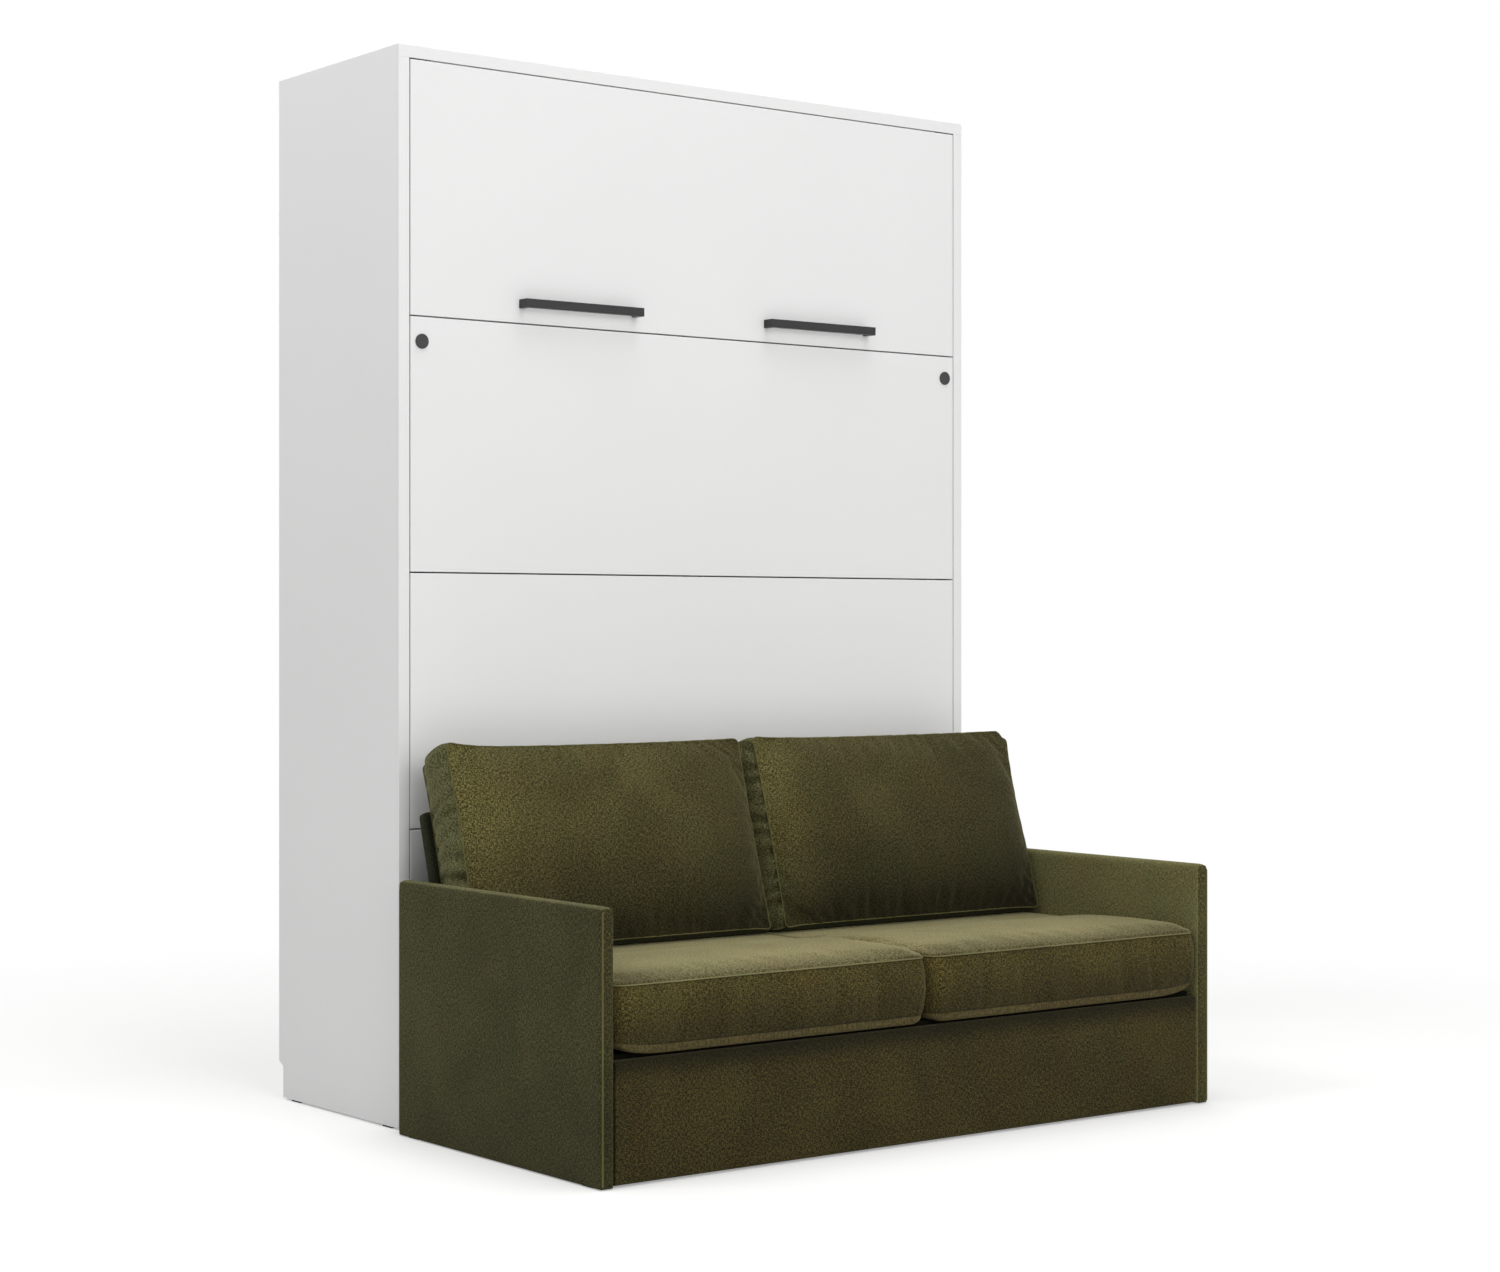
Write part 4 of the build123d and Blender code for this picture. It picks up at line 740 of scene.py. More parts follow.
def makeSlatTree():
    # Sprung slats: one rounded section swept across the bed, set at an even pitch up the frame
    tree, given = startTree("slatsUpFrame", {
        "Count": "Int", "First": "Vector", "Pitch": "Float", "Length": "Float", "Width": "Float",
        "Thickness": "Float"})
    step = addNode(tree, "ShaderNodeCombineXYZ", {"Z": given["Pitch"]})
    spots = addNode(tree, "GeometryNodeMeshLine", {
        "Count": given["Count"], "Start Location": given["First"], "Offset": step})
    core = addNode(tree, "GeometryNodeSetCurveNormal", {
        "mode": "FREE", "Normal": (0.0, 1.0, 0.0), "Curve": centredLine(tree, "X", given["Length"])})
    section = roundedBand(tree, given["Thickness"], given["Width"], given["Thickness"], 0.3, 3)
    slat = addNode(tree, "GeometryNodeCurveToMesh", {
        "Fill Caps": True, "Curve": core, "Profile Curve": section})
    slats = addNode(tree, "GeometryNodeInstanceOnPoints", {"Points": spots, "Instance": slat})
    return endTree(tree, slats, given)


weltTree, stitchTree, strapTree, slatTree = makeWeltTree(), makeStitchTree(), makeStrapTree(), makeSlatTree()

stitching = {"pitch": 0.0055, "share": 0.68, "thickness": 0.0009, "seed": 7}
weltStep = 0.006


def addWelt(name, line, radius, material, body, closed=True):
    piece = growPiece(name, weltTree, {"Radius": radius, "Step": weltStep, "Material": finishes[material]},
                      lineCurve(name + "Line", line, closed))
    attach(piece, body)


def addStitches(name, line, body):
    piece = growPiece(name, stitchTree, {
        "Pitch": stitching["pitch"], "Length": stitching["pitch"] * stitching["share"],
        "Thickness": stitching["thickness"], "Seed": stitching["seed"], "Material": finishes["spunThread"]},
        lineCurve(name + "Line", line))
    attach(piece, body)


print("node trees are built")


# Seat cushions: boxed foam with a turned seam above and below the band, a soft roll at the front,
# and the back part pressed flat under the back cushions

seatCushion = {
    "inner": 0.005, "outer": 0.757, "front": -0.6055, "rear": -0.0175, "seamLow": 0.252, "seamHigh": 0.364,
    "cell": 0.0088, "corner": 0.030,
    "frontBulge": 0.0090, "sideBulge": 0.003, "rearShare": 0.3,
    # height over the upper seam, by distance from the front seam
    "profile": ((0, 0.000), (0.004, 0.0070), (0.012, 0.0132), (0.026, 0.0172), (0.045, 0.0190),
                (0.100, 0.0204), (0.170, 0.0206), (0.232, 0.0190), (0.290, 0.0150), (0.335, 0.0082),
                (0.365, 0.0052), (0.420, 0.0042), (0.588, 0.0037)),
    # shares of that height, by distance from a side seam and from the rear one
    "sideRoll": ((0, 0.0), (0.004, 0.38), (0.012, 0.64), (0.028, 0.83), (0.050, 0.92), (0.110, 0.98),
                 (0.2, 1.0)),
    "rearRoll": ((0, 0.2), (0.01, 0.9), (0.03, 1.0)),
    # how far the under panel hangs below its seam, by distance from it: a rolled lip at the front
    "underRoll": ((0, 0.0), (0.0015, 0.0070), (0.004, 0.0140), (0.009, 0.0185), (0.018, 0.0175),
                  (0.034, 0.0155), (0.2, 0.0155)),
    "lipEnds": (0.4, 0.02, 0.05),  # share of the lip lost at either end, its reach, and that at the outer one
    "lip": 0.0026, "lipAt": 0.005, "lipReach": 0.004,  # how far the cloth rolls out over its seam, and where
    "endLift": (0.007, 0.06, 0.02),  # how far the lower seam rises at the outer end, its reach along and in
    "pressed": 0.41,  # the back cushions lie on the seat from here on
    "pressure": 3.0, "spare": 0.03, "cap": 0.0028, "sideCap": 0.0012,
    "seeds": {"Left": 3.0, "Right": 11.0},
    # gathers along the seams, their reach in the top and the band, and their size along each axis
    "seamPucker": 0.0003, "seamReach": (0.014, 0.02), "seamRipple": (62, 62, 20),
    # gathers where the two cushions press on each other: from the join, and about a place from the front
    "joinPucker": 0.0022, "joinReach": 0.11, "joinAt": 0.28, "joinSpan": 0.16, "joinRipple": (9, 38, 5),
    "hollow": 0.0012, "hollowTo": 0.4, "hollowIn": 0.05, "hollowRipple": (6, 9, 5),
    "groove": 0.0016, "welt": 0.0013, "weltOut": 0.0030, "stitchUp": 0.0003, "stitchIn": 2,
}


def makeSeatCushion(side, sign):
    made = seatCushion
    low = np.array([min(sign * made["inner"], sign * made["outer"]), made["front"], made["seamLow"]])
    high = np.array([max(sign * made["inner"], sign * made["outer"]), made["rear"], made["seamHigh"]])
    net = blockNet(*[graded(low[axis], high[axis], made["cell"]) for axis in range(3)])
    flat = net["flat"]
    fromFront, fromRear = flat[:, 1] - low[1], high[1] - flat[:, 1]
    fromSide = np.minimum(flat[:, 0] - low[0], high[0] - flat[:, 0])
    toEdge = np.minimum(np.minimum(fromFront, fromRear), fromSide)
    onTop, onBottom = np.isclose(flat[:, 2], high[2]), np.isclose(flat[:, 2], low[2])
    band = ~onTop & ~onBottom
    points = roundPair(flat.copy(), 0, 1, low, high, made["corner"])
    rise = smoothLine(fromFront, made["profile"]) * smoothLine(fromSide, made["sideRoll"])
    rise *= smoothLine(fromRear, made["rearRoll"])
    # the lip runs out at the cushion's ends, slowly at the outer one, where the lower seam rises too
    fromOuter = abs(sign * made["outer"] - flat[:, 0])
    share, anyEnd, outerEnd = made["lipEnds"]
    drop = smoothLine(toEdge, made["underRoll"])
    drop *= 1 - share * bell(fromSide, anyEnd) - share * bell(fromOuter, outerEnd)
    height, along, inward = made["endLift"]
    lift = height * bell(fromOuter, along) * fade(toEdge, inward)
    points[:, 2] += lift * np.clip((high[2] - flat[:, 2]) / (high[2] - low[2]), 0, 1)
    points[onTop, 2] += rise[onTop]
    points[onBottom, 2] -= drop[onBottom]
    # the band bulges out between its seams, most at the front
    level = (flat[:, 2] - low[2]) / (high[2] - low[2])
    belly = 1 - (2 * level - 1) ** 2
    outward = points[:, :2] - np.clip(points[:, :2], (low + made["corner"])[:2], (high - made["corner"])[:2])
    outward /= np.maximum(np.linalg.norm(outward, axis=1), 1e-9)[:, None]
    frontShare = np.clip(-outward[:, 1], 0, 1) ** 1.5
    bulge = made["sideBulge"] + (made["frontBulge"] - made["sideBulge"]) * frontShare
    bulge *= np.where(outward[:, 1] > 0.5, made["rearShare"], 1.0)
    points[band, :2] += (outward * (bulge * belly)[:, None])[band]
    lipShare = bell(np.minimum(fromFront, fromSide) - made["lipAt"], made["lipReach"])
    loose = onTop | onBottom
    points[loose, :2] += (outward * (made["lip"] * lipShare)[:, None])[loose]
    # band, top and lip take lit and shaded copies of one cloth: painted light and shade
    piece = netPiece(f"seatCushion{side}", net, points, [f"chenilleBand{side}", "chenilleTopLit", "chenilleLipLit"],
                     (0, 0, 0, 0, 2, 1))
    pressed = (toEdge < 1e-6) | (fromFront > made["pressed"])
    held = (onTop & pressed) | onBottom | (fromRear < 1e-6)
    caps = np.full(len(flat), made["cap"])
    caps[band & (fromSide < 1e-6)] = made["sideCap"]
    blowUp(piece, held, made["pressure"], made["spare"], caps)
    # puckers where the cloth is gathered into the seam, and where the two cushions press on each other
    seed = made["seeds"][side]
    inTop, inBand = made["seamReach"]
    near = np.where(onTop, fade(toEdge, inTop), fade(high[2] - flat[:, 2], inBand))
    amounts = made["seamPucker"] * near * ripple(flat, made["seamRipple"], seed) * (onTop | band)
    fromJoin = abs(flat[:, 0]) - made["inner"]
    gathered = bell(fromJoin, made["joinReach"]) * bell(fromFront - made["joinAt"], made["joinSpan"]) * onTop
    amounts += made["joinPucker"] * gathered * ripple(flat, made["joinRipple"], seed + 5)
    hollows = made["hollow"] * onTop * (fromFront < made["hollowTo"])
    hollows = hollows * ripple(flat, made["hollowRipple"], seed + 9)
    amounts += hollows * np.clip(fromSide / made["hollowIn"], 0, 1)
    pushOut(piece, amounts)
    points = readPoints(piece.data)
    for groove in (seamRing(net, 2, 0), seamRing(net, 2, 1)):
        points[groove, :2] -= outward[groove] * made["groove"]
    movePoints(piece, points)
    softenMesh(piece)
    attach(piece, "cabinet_and_sofa")
    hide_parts(f"seat_cushion_{side.lower()}")
    ring = seamRing(net, 2, 1)
    seamLine = points[ring]
    seamLine[:, :2] += outward[ring] * made["weltOut"]
    addWelt(f"seatSeam{side}", seamLine.tolist(), made["welt"], "chenilleCordLit", "cabinet_and_sofa")
    top = points[seamRing(net, 2, 1, made["stitchIn"])] + np.array([0, 0, made["stitchUp"]])
    addStitches(f"seatTopStitch{side}", top.tolist(), "cabinet_and_sofa")


makeSeatCushion("Left", -1)
makeSeatCushion("Right", 1)
print("seat cushions are sewn")


# Back cushions, made lying in the backrest's own lean: x across, then front to rear, then up the lean

lean = {"angle": math.radians(16), "axisY": 0.0025, "axisZ": 0.440}


def leanOut(points):
    # From (x, across, along) of the leaning backrest to the row frame
    x, across, along = np.asarray(points).T
    s, c = math.sin(lean["angle"]), math.cos(lean["angle"])
    return np.stack([x, lean["axisY"] + along * s + across * c, lean["axisZ"] + along * c - across * s], -1)


backCushion = {
    "inner": 0.0035, "outer": 0.750, "face": -0.1193, "rear": -0.0143, "foot": 0.3683, "top": 0.3245,
    "depth": 0.105, "cutHeight": 0.43, "cell": 0.0088, "cellUp": 0.0060, "corner": 0.014,
    # how far the cover is drawn in at the inner side, outer side, top and foot, by depth behind the face
    "innerDraw": ((0, 0.0165), (0.012, 0.0095), (0.03, 0.0035), (0.055, 0.0005), (0.085, 0.002),
                  (0.105, 0.008)),
    "outerDraw": ((0, 0.0), (0.02, -0.004), (0.055, -0.006), (0.085, -0.002), (0.105, 0.006)),
    "topDraw": ((0, 0.0115), (0.012, 0.0075), (0.03, 0.0055), (0.055, 0.0055), (0.085, 0.008),
                (0.105, 0.014)),
    "footDraw": ((0, 0.0165), (0.008, 0.0085), (0.02, 0.0025), (0.04, 0.0), (0.105, 0.0)),
    "sidePull": 0.004, "topSag": 0.004, "hollowEdge": 2.5,  # edges hollow between the corners
    "drawReach": 0.09, "footReach": 0.06, "footEnds": (0.35, 0.03),
    # outer and inner top corners of the face, up the lean, and how far they stand out sideways
    "ears": {"Left": (0.012, 0.000, 0.0), "Right": (-0.002, 0.003, 0.010)},
    "earReach": 0.04, "earAside": (0.05, 0.07),
    "cornerCut": {"Left": 0.0, "Right": 0.026},  # the right cushion's outer top corner is pushed in
    "sideFull": {"Left": 0.0, "Right": 0.006}, "fullAt": 0.1, "fullSpan": 0.13,
    "rearDroop": 0.020, "droopReach": (0.03, 0.06),  # the corners behind the face hang lower than it
    "crown": 0.032,
    # share of the crown, by distance from a seam
    "crownRoll": ((0, 0.0), (0.006, 0.1), (0.02, 0.27), (0.05, 0.52), (0.10, 0.76), (0.17, 0.94), (0.22, 1.0),
                  (0.4, 1.0)),
    "rearFull": 0.006, "rearFrom": 0.34, "rearOver": 0.06,  # the rear swells over the backrest's upper edge
    "leansTo": 0.33,  # below this the rear rests on the backrest
    "pressure": 3.0, "spare": 0.035, "cap": 0.007, "sideCap": 0.0022, "topCap": 0.0012,
    "seeds": {"Left": 21.0, "Right": 34.0},
    # folds in the gusset: their reach behind the face and before the rear seam, and their slant
    "gussetPucker": 0.0150, "gatherPitch": 0.042, "gatherStart": 0.005, "faceReach": 0.045,
    "rearReach": 0.022, "rearShare": 0.35, "slant": 0.25,
    "topPucker": 0.0005, "facePucker": 0.0009, "puckerReach": 0.016,
    # broad hollows in the face, and creases that run out of the lower corners
    "hollow": 0.0028, "hollowIn": 0.06, "crease": 0.0024, "creasePitch": 0.036, "creaseReach": 0.10,
    "creaseIn": 0.012, "welt": 0.0013,
}


def makeBackCushion(side, sign):
    made = backCushion
    low = np.array([min(sign * made["inner"], sign * made["outer"]), made["face"], 0.0])
    high = np.array([max(sign * made["inner"], sign * made["outer"]), made["rear"], made["cutHeight"]])
    cells = (made["cell"], made["cell"], made["cellUp"])
    net = blockNet(*[graded(low[axis], high[axis], cells[axis]) for axis in range(3)])
    flat = net["flat"]
    fromFace, fromRear = flat[:, 1] - low[1], high[1] - flat[:, 1]
    fromSide = np.minimum(flat[:, 0] - low[0], high[0] - flat[:, 0])
    fromTop, fromFoot = high[2] - flat[:, 2], flat[:, 2] - low[2]
    onFace, onRear = fromFace < 1e-6, fromRear < 1e-6
    onTop, onFoot, onSide = fromTop < 1e-6, fromFoot < 1e-6, fromSide < 1e-6
    gusset = ~onFace & ~onRear
    half = (high[0] - low[0]) / 2
    u = (flat[:, 0] - (low[0] + high[0]) / 2) / half
    v = 2 * flat[:, 2] / high[2] - 1
    outerSide, aside = np.sign(u) == sign, np.sign(u)
    points = roundPair(flat.copy(), 0, 2, low, high, made["corner"])
    # the foot is cut level, the rest fills the lean up to the top
    s, c = math.sin(lean["angle"]), math.cos(lean["angle"])
    foot = (made["foot"] - lean["axisZ"] + flat[:, 1] * s) / c
    points[:, 2] = foot + (made["top"] - foot) * (points[:, 2] / high[2])
    fromEnds = np.minimum(fromTop, fromFoot)
    edge = np.minimum(fromSide, fromEnds)
    crown = smoothLine(fromSide, made["crownRoll"]) * smoothLine(fromEnds, made["crownRoll"])
    points[onFace, 1] -= (made["crown"] * crown)[onFace]
    above = np.clip((flat[:, 2] - made["rearFrom"]) / made["rearOver"], 0, 1)
    points[onRear, 1] += (made["rearFull"] * crown * above)[onRear]
    # the seams are drawn in behind the gusset, edges hollow between the corners, corners stay out as ears
    outerDraw, innerDraw = smoothLine(fromFace, made["outerDraw"]), smoothLine(fromFace, made["innerDraw"])
    sideDraw = np.where(outerSide, outerDraw, innerDraw)
    sideDraw = sideDraw + made["sidePull"] * (1 - abs(v) ** made["hollowEdge"])
    points[:, 0] -= aside * sideDraw * fade(fromSide, made["drawReach"])
    topDraw = smoothLine(fromFace, made["topDraw"]) + made["topSag"] * (1 - abs(u) ** made["hollowEdge"])
    share, reach = made["footEnds"]
    footDraw = smoothLine(fromFace, made["footDraw"]) * (1 - share * fade(fromSide, reach))
    points[:, 2] += footDraw * fade(fromFoot, made["footReach"]) - topDraw * fade(fromTop, made["drawReach"])
    outerEar, innerEar, earOut = made["ears"][side]
    points[:, 2] += np.where(outerSide, outerEar, innerEar) * fade(fromSide + fromTop, made["earReach"])
    inward, down = made["droopReach"]
    droop = made["rearDroop"] * (fromFace / made["depth"])
    points[:, 2] -= droop * np.exp(-fromSide / inward - fromTop / down)
    cut = np.clip(made["cornerCut"][side] - fromSide - fromTop, 0, None) * outerSide * 0.5
    points[:, 0] -= aside * cut
    points[:, 2] -= cut
    full = made["sideFull"][side] * bell(flat[:, 2] - made["fullAt"], made["fullSpan"])
    points[:, 0] += aside * outerSide * full * fade(fromSide, made["drawReach"])
    inward, down = made["earAside"]
    points[:, 0] += aside * outerSide * earOut * np.exp(-fromSide / inward - fromTop / down)
    # face, gussets and foot take lit and shaded copies of one cloth: painted light and shade
    piece = netPiece(f"backCushion{side}", net, leanOut(points),
                     [f"chenilleFace{side}", "chenilleGussetLit", "chenilleInShade"], (1, 1, 0, 1, 2, 1))
    resting = onFoot | (onRear & (flat[:, 2] < made["leansTo"]))
    caps = np.full(len(flat), made["cap"])
    caps[gusset & onTop] = made["topCap"]
    caps[gusset & onSide] = np.where(outerSide, made["cap"], made["sideCap"])[gusset & onSide]
    blowUp(piece, ((onFace | onRear) & (edge < 1e-6)) | resting, made["pressure"], made["spare"], caps)
    seed = made["seeds"][side]
    # the gusset is gathered into both seams: narrow folds at an uneven pitch, deepest near the face
    nearSeam = np.clip(fromFace / made["gatherStart"], 0, 1) * fade(fromFace, made["faceReach"])
    nearSeam = nearSeam + made["rearShare"] * fade(fromRear, made["rearReach"])
    along = (flat[:, 2] + made["slant"] * fromFace) / made["gatherPitch"]
    along = along + 1.1 * ripple(flat, (9, 9, 9), seed)
    deep = 0.7 + 0.6 * ripple(flat, (16, 5, 16), seed + 2)
    folds = (0.5 + 0.5 * np.cos(2 * math.pi * along)) ** 2 * deep
    amounts = -made["gussetPucker"] * nearSeam * folds * (gusset & onSide)
    amounts -= made["topPucker"] * nearSeam * ripple(flat, (44, 7, 44), seed) * (gusset & onTop)
    gathered = made["facePucker"] * onFace * fade(edge, made["puckerReach"])
    amounts += gathered * ripple(flat, (70, 14, 70), seed + 4)
    broad = ripple(flat, (5.0, 5.0, 6.5), seed + 8)
    amounts += made["hollow"] * onFace * broad * np.clip(edge / made["hollowIn"], 0, 1)
    diagonal = flat[:, 0] * np.where(u > 0, 1, -1) + flat[:, 2]
    corner = bell(fromSide + fromFoot, made["creaseReach"]) * onFace * np.clip(edge / made["creaseIn"], 0, 1)
    amounts += made["crease"] * corner * np.sin(diagonal * 2 * math.pi / made["creasePitch"])
    amounts[resting & ~onFace] = 0
    pushOut(piece, amounts)
    points = readPoints(piece.data)
    softenMesh(piece)
    body = f"back_cushion_{side.lower()}"
    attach(piece, body)
    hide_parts(body)
    for end, label in ((0, "Front"), (1, "Rear")):
        ring = points[seamRing(net, 1, end)]
        addWelt(f"backWelt{label}{side}", ring.tolist(), made["welt"], "chenilleWeltLit", body)


makeBackCushion("Left", -1)
makeBackCushion("Right", 1)
print("back cushions are sewn")


# Arms, apron, rear panel and folding backrest: boards under wadding and a tight cover

wadding = {"uneven": 0.6, "ripple": (5, 5, 5), "edge": 0.05}


def makeCovered(name, node, body, made, materials, byPanel=(0, 0, 0, 0, 0, 0), footRound=None, leaning=False):
    # A covered board: block edges rounded by axis pair, its broad faces slightly full and a little uneven.
    # With a foot radius, the edges on the floor are rounded by that one alone.
    low, high = np.array(made["low"]), np.array(made["high"])
    net = blockNet(*[graded(low[axis], high[axis], made["cell"]) for axis in range(3)])
    flat = net["flat"]
    points = flat.copy()
    for (axisA, axisB), radius in made["roundings"]:
        below = low.copy()
        below[2] -= radius if footRound is not None and axisB == 2 else 0
        roundPair(points, axisA, axisB, below, high, radius)
    if footRound is not None:
        above = high + (0, 0, footRound)
        for axis in (0, 1):
            roundPair(points, axis, 2, low, above, footRound)
    thin = int(np.argmin(high - low))
    wide = [axis for axis in range(3) if axis != thin]
    rooms = [np.minimum(flat[:, axis] - low[axis], high[axis] - flat[:, axis]) for axis in wide]
    edge = np.min(rooms, axis=0)
    side = np.where(flat[:, thin] > (low[thin] + high[thin]) / 2, 1, -1)
    onBroad = np.isclose(flat[:, thin], low[thin]) | np.isclose(flat[:, thin], high[thin])
    uneven = 1 + wadding["uneven"] * ripple(flat, wadding["ripple"], made["seed"])
    points[:, thin] += side * onBroad * made["swell"] * uneven * np.clip(edge / wadding["edge"], 0, 1)
    piece = netPiece(name, net, leanOut(points) if leaning else points, materials, byPanel)
    softenMesh(piece)
    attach(piece, body)
    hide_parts(node)


arm = {
    "inner": 0.761, "outer": 0.793, "front": -0.6085, "rear": 0.0865, "foot": 0.0015, "top": 0.508,
    "cell": 0.014, "footRound": 0.004, "roundings": (((0, 2), 0.0125), ((1, 2), 0.011), ((0, 1), 0.010)),
    "swell": 0.0008, "seeds": {"Left": 3.0, "Right": 5.0},
    "welt": 0.0019, "seamIn": 0.005, "seamBack": 0.0012, "seamSpan": (0.005, 0.013),
    # the seam's last two points, over the top corner: how far further in, back and down
    "seamTurn": ((0.002, 0.003, 0.0085), (0.006, 0.0045, 0.005)),
}


def makeArm(side, sign):
    made = {**arm, "seed": arm["seeds"][side],
            "low": [min(sign * arm["inner"], sign * arm["outer"]), arm["front"], arm["foot"]],
            "high": [max(sign * arm["inner"], sign * arm["outer"]), arm["rear"], arm["top"]]}
    # the arm's faces take lit and shaded copies of one cloth: painted light and shade
    makeCovered(f"arm{side}", f"arm_{side.lower()}", "cabinet_and_sofa", made,
                ["chenilleGreen", "chenilleEndShaded", "chenilleInnerLit", "chenilleGussetLit"],
                (0, 2, 1, 0, 0, 3) if sign < 0 else (2, 0, 1, 0, 0, 2), arm["footRound"])
    # a folded seam up the outer edge of the front end, over the top corner
    x = sign * (arm["outer"] - arm["seamIn"])
    upward = np.linspace(arm["foot"] + arm["seamSpan"][0], arm["top"] - arm["seamSpan"][1], 60)
    line = [(x, arm["front"] + arm["seamBack"], z) for z in upward]
    for inward, back, down in arm["seamTurn"]:
        line.append((x - sign * inward, arm["front"] + back, arm["top"] - down))
    addWelt(f"armSeam{side}", line, arm["welt"], "chenilleWeltLit", "cabinet_and_sofa", closed=False)


makeArm("Left", -1)
makeArm("Right", 1)

apron = {"low": (-0.7580, -0.6055, 0.0035), "high": (0.7580, -0.5775, 0.2285), "cell": 0.014,
         "roundings": (((1, 2), 0.009), ((0, 1), 0.003)), "swell": 0.0008, "seed": 9.0}
rearPanel = {"low": (-0.7607, -0.0115, 0.030), "high": (0.7607, 0.0165, 0.419), "cell": 0.02,
             "roundings": (((1, 2), 0.008), ((0, 1), 0.003)), "swell": 0.0, "seed": 12.0}
foldingBackrest = {"low": (-0.755, -0.014, 0.012), "high": (0.755, 0.014, 0.209), "cell": 0.014,
                   "roundings": (((1, 2), 0.011), ((0, 1), 0.008), ((0, 2), 0.012)), "swell": 0.0,
                   "seed": 15.0}
# the apron, rear panel and folding backrest take shaded copies of one cloth: painted shade
makeCovered("apronPanel", "apron", "cabinet_and_sofa", apron, ["chenilleApronShaded"])
makeCovered("rearPanel", "rear_panel", "cabinet_and_sofa", rearPanel, ["chenilleGreen"])
makeCovered("foldingBackrest", "backrest", "backrest", foldingBackrest, ["chenilleInShade"], leaning=True)
print("arms, apron and backrest are covered")


# Bed: quilted mattress, straps and slats

mattress = {
    "low": (-0.6944, 0.1848, 0.137), "high": (0.6944, 0.3648, 2.137), "round": 0.022,
    "quilt": 0.115, "depth": 0.011, "cell": 0.0125, "cellsThick": 19,
    "welt": 0.003, "weltStep": 0.012, "weltCorner": 0.018,
}


def makeMattressTree():
    # A block with rounded edges whose two broad faces are quilted in diamonds between sewn lines
    tree, given = startTree("quiltedMattress", {
        "Size": "Vector", "Centre": "Vector", "Round": "Float", "Pitch": "Float", "Depth": "Float",
        "Cells X": "Int", "Cells Y": "Int", "Cells Z": "Int"})
    block = addNode(tree, "GeometryNodeMeshCube", {
        "Size": given["Size"], "Vertices X": given["Cells X"], "Vertices Y": given["Cells Y"],
        "Vertices Z": given["Cells Z"]})
    # rounding: what lies beyond the inner block is drawn back to the radius
    spot = addNode(tree, "GeometryNodeInputPosition")
    half = addNode(tree, "ShaderNodeVectorMath", {"operation": "SCALE", 0: given["Size"], "Scale": 0.5})
    inner = addNode(tree, "ShaderNodeVectorMath", {"operation": "SUBTRACT", 0: half, 1: given["Round"]})
    outer = addNode(tree, "ShaderNodeVectorMath", {"operation": "SCALE", 0: inner, "Scale": -1.0})
    kept = addNode(tree, "ShaderNodeVectorMath", {"operation": "MINIMUM", 0: spot, 1: inner})
    kept = addNode(tree, "ShaderNodeVectorMath", {"operation": "MAXIMUM", 0: kept, 1: outer})
    beyond = addNode(tree, "ShaderNodeVectorMath", {"operation": "SUBTRACT", 0: spot, 1: kept})
    beyond = addNode(tree, "ShaderNodeVectorMath", {"operation": "NORMALIZE", 0: beyond})
    beyond = addNode(tree, "ShaderNodeVectorMath", {
        "operation": "SCALE", 0: beyond, "Scale": given["Round"]})
    rounded = addNode(tree, "ShaderNodeVectorMath", {"operation": "ADD", 0: kept, 1: beyond})
    # quilting: full between two sets of sewn diagonals, and sunk on them
    x, y, z = addNode(tree, "ShaderNodeSeparateXYZ", {0: spot}).outputs
    halfX, halfY, halfZ = addNode(tree, "ShaderNodeSeparateXYZ", {0: half}).outputs
    halfPitch = addNode(tree, "ShaderNodeMath", {"operation": "MULTIPLY", 0: given["Pitch"], 1: 0.5})
    fullness = []
    for operation in ("ADD", "SUBTRACT"):
        away = addNode(tree, "ShaderNodeMath", {"operation": operation, 0: x, 1: z})
        away = addNode(tree, "ShaderNodeMath", {"operation": "MULTIPLY", 0: away, 1: 0.7071})
        away = addNode(tree, "ShaderNodeMath", {"operation": "PINGPONG", 0: away, 1: halfPitch})
        away = addNode(tree, "ShaderNodeMath", {"operation": "DIVIDE", 0: away, 1: halfPitch})
        fullness.append(addNode(tree, "ShaderNodeMath", {"operation": "POWER", 0: away, 1: 0.6}))
    full = addNode(tree, "ShaderNodeMath", {"operation": "MULTIPLY", 0: fullness[0], 1: fullness[1]})
    sunk = addNode(tree, "ShaderNodeMath", {"operation": "SUBTRACT", 0: full, 1: 1.0})
    # inwards, on the two broad faces alone, and less towards their edges
    rooms = []
    for middle, reach in ((x, halfX), (y, halfY), (z, halfZ)):
        out = addNode(tree, "ShaderNodeMath", {"operation": "ABSOLUTE", 0: middle})
        rooms.append(addNode(tree, "ShaderNodeMath", {"operation": "SUBTRACT", 0: reach, 1: out}))
    room = addNode(tree, "ShaderNodeMath", {"operation": "MINIMUM", 0: rooms[0], 1: rooms[2]})
    edge = addNode(tree, "ShaderNodeMapRange", {"Value": room, "From Min": 0.025, "From Max": 0.06})
    facing = addNode(tree, "ShaderNodeMath", {"operation": "SIGN", 0: y})
    isFace = addNode(tree, "ShaderNodeMath", {"operation": "LESS_THAN", 0: rooms[1], 1: 0.0005})
    for share in (given["Depth"], edge, facing, isFace):
        sunk = addNode(tree, "ShaderNodeMath", {"operation": "MULTIPLY", 0: sunk, 1: share})
    press = addNode(tree, "ShaderNodeCombineXYZ", {"Y": sunk})
    shaped = addNode(tree, "ShaderNodeVectorMath", {"operation": "ADD", 0: rounded, 1: press})
    placed = addNode(tree, "ShaderNodeVectorMath", {"operation": "ADD", 0: shaped, 1: given["Centre"]})
    moved = addNode(tree, "GeometryNodeSetPosition", {"Geometry": block, "Position": placed})
    return endTree(tree, moved, given)


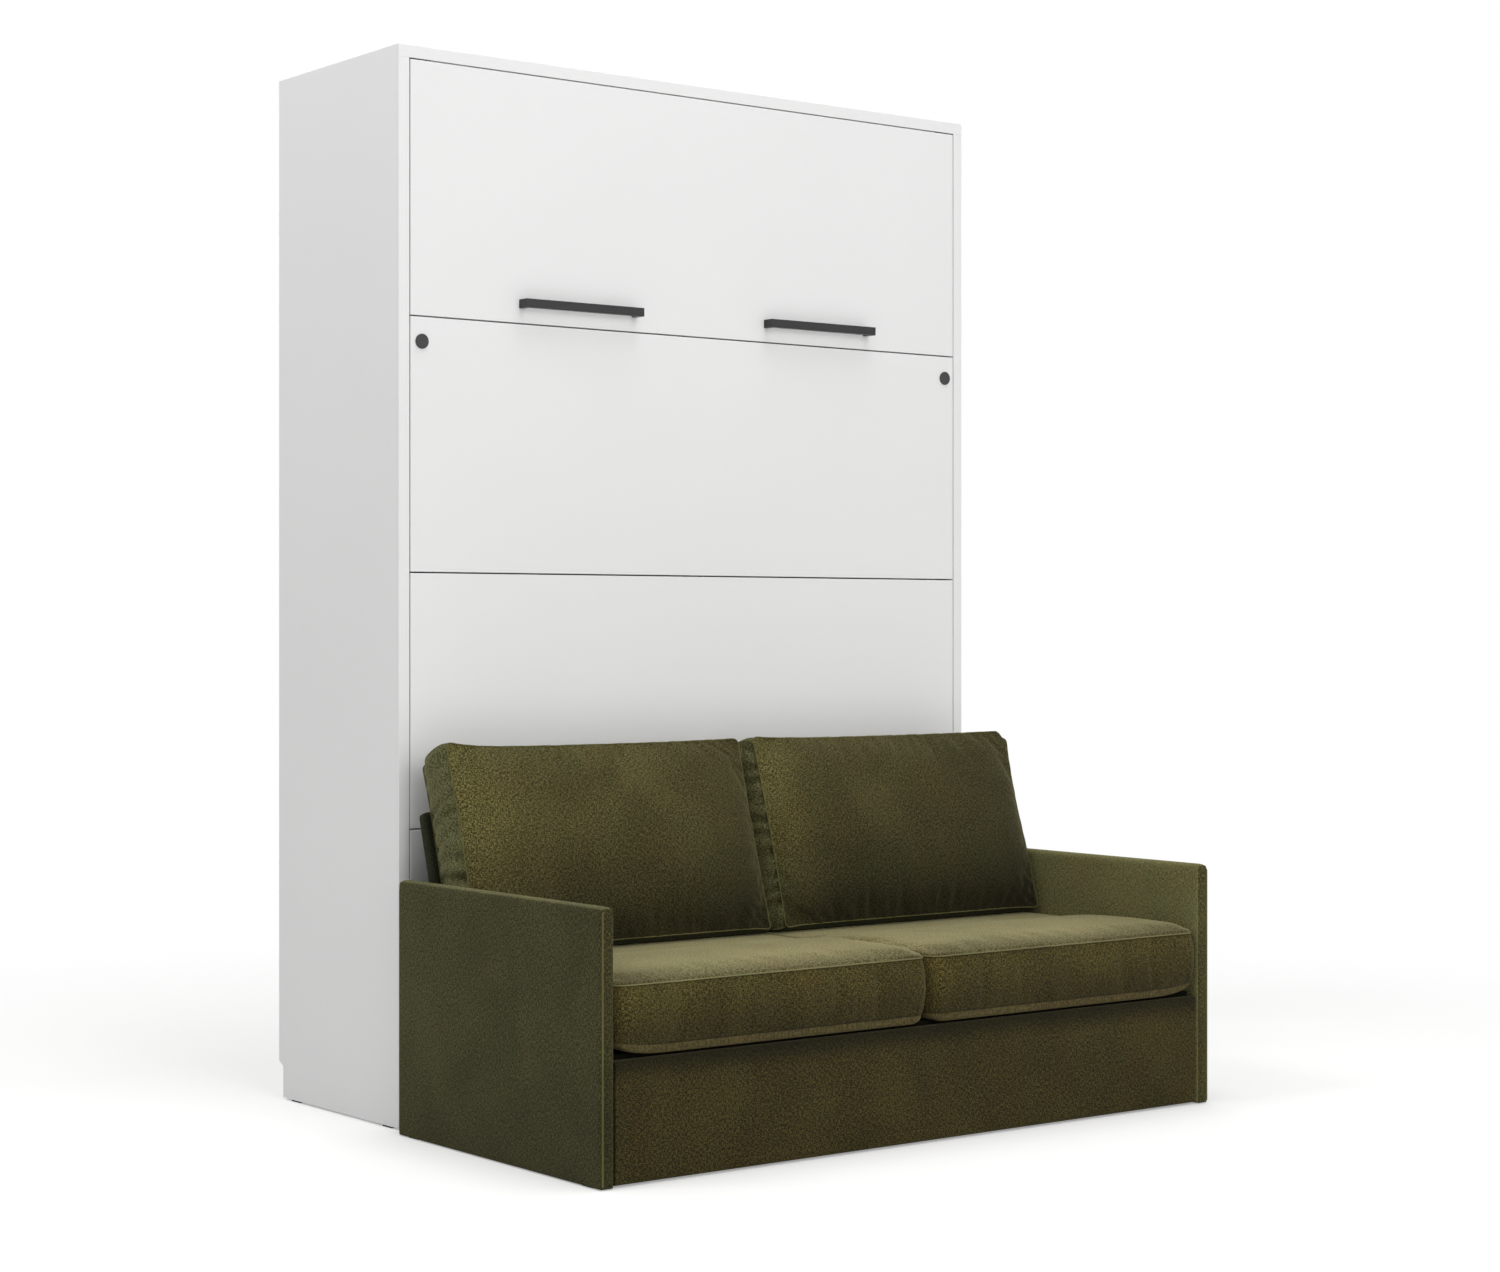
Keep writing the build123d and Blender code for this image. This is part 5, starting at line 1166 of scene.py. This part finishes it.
low, high = Vector(mattress["low"]), Vector(mattress["high"])
size = high - low
quilted = growPiece("quiltedMattress", makeMattressTree(), {
    "Size": size, "Centre": (low + high) / 2, "Round": mattress["round"], "Pitch": mattress["quilt"],
    "Depth": mattress["depth"], "Cells X": round(size.x / mattress["cell"]),
    "Cells Y": mattress["cellsThick"], "Cells Z": round(size.z / mattress["cell"]),
    "Material": finishes["knittedTicking"]})
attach(quilted, "bed")
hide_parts("mattress")

# a welt round each broad face, on the middle of the rounded edge
inset, corner = mattress["round"] * (1 - math.sqrt(0.5)), mattress["weltCorner"]
edge = inset + corner
for y, label in ((low.y + inset, "Front"), (high.y - inset, "Rear")):
    ring = []
    for cx, cz, turn in ((high.x - edge, high.z - edge, 0), (low.x + edge, high.z - edge, 90),
                         (low.x + edge, low.z + edge, 180), (high.x - edge, low.z + edge, 270)):
        for angle in range(0, 91, 15):
            a = math.radians(turn + angle)
            ring.append((cx + corner * math.cos(a), y, cz + corner * math.sin(a)))
    welt = growPiece(f"mattressWelt{label}", weltTree, {
        "Radius": mattress["welt"], "Step": mattress["weltStep"], "Material": finishes["knittedTicking"]},
        lineCurve("mattressWeltLine", ring))
    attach(welt, "bed")

straps = {"levels": (0.420, 1.780), "halfSpan": 0.6960, "start": 0.1590, "over": 0.3660, "width": 0.040,
          "thickness": 0.002, "bend": 0.020}
for number, level in enumerate(straps["levels"]):
    x = straps["halfSpan"]
    path = [(-x, straps["start"], level), (-x, straps["over"], level), (x, straps["over"], level),
            (x, straps["start"], level)]
    strap = growPiece(f"mattressStrap{number + 1}", strapTree, {
        "Width": straps["width"], "Thickness": straps["thickness"], "Bend": straps["bend"],
        "Material": finishes["wovenWebbing"]}, lineCurve("strapLine", path, False))
    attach(strap, "bed")
    if number == 0:
        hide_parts("mattress_straps")

slatRow = {"count": 14, "width": 0.053, "thickness": 0.008}
slatLow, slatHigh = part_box("slats")
slatPitch = (slatHigh.z - slatLow.z - slatRow["width"]) / (slatRow["count"] - 1)
slats = growPiece("birchSlats", slatTree, {
    "Count": slatRow["count"], "First": (0, (slatLow.y + slatHigh.y) / 2, slatLow.z + slatRow["width"] / 2),
    "Pitch": slatPitch, "Length": slatHigh.x - slatLow.x, "Width": slatRow["width"],
    "Thickness": slatRow["thickness"], "Material": finishes["birchLaminate"]})
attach(slats, "bed")
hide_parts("slats")
print("mattress, straps and slats are in")
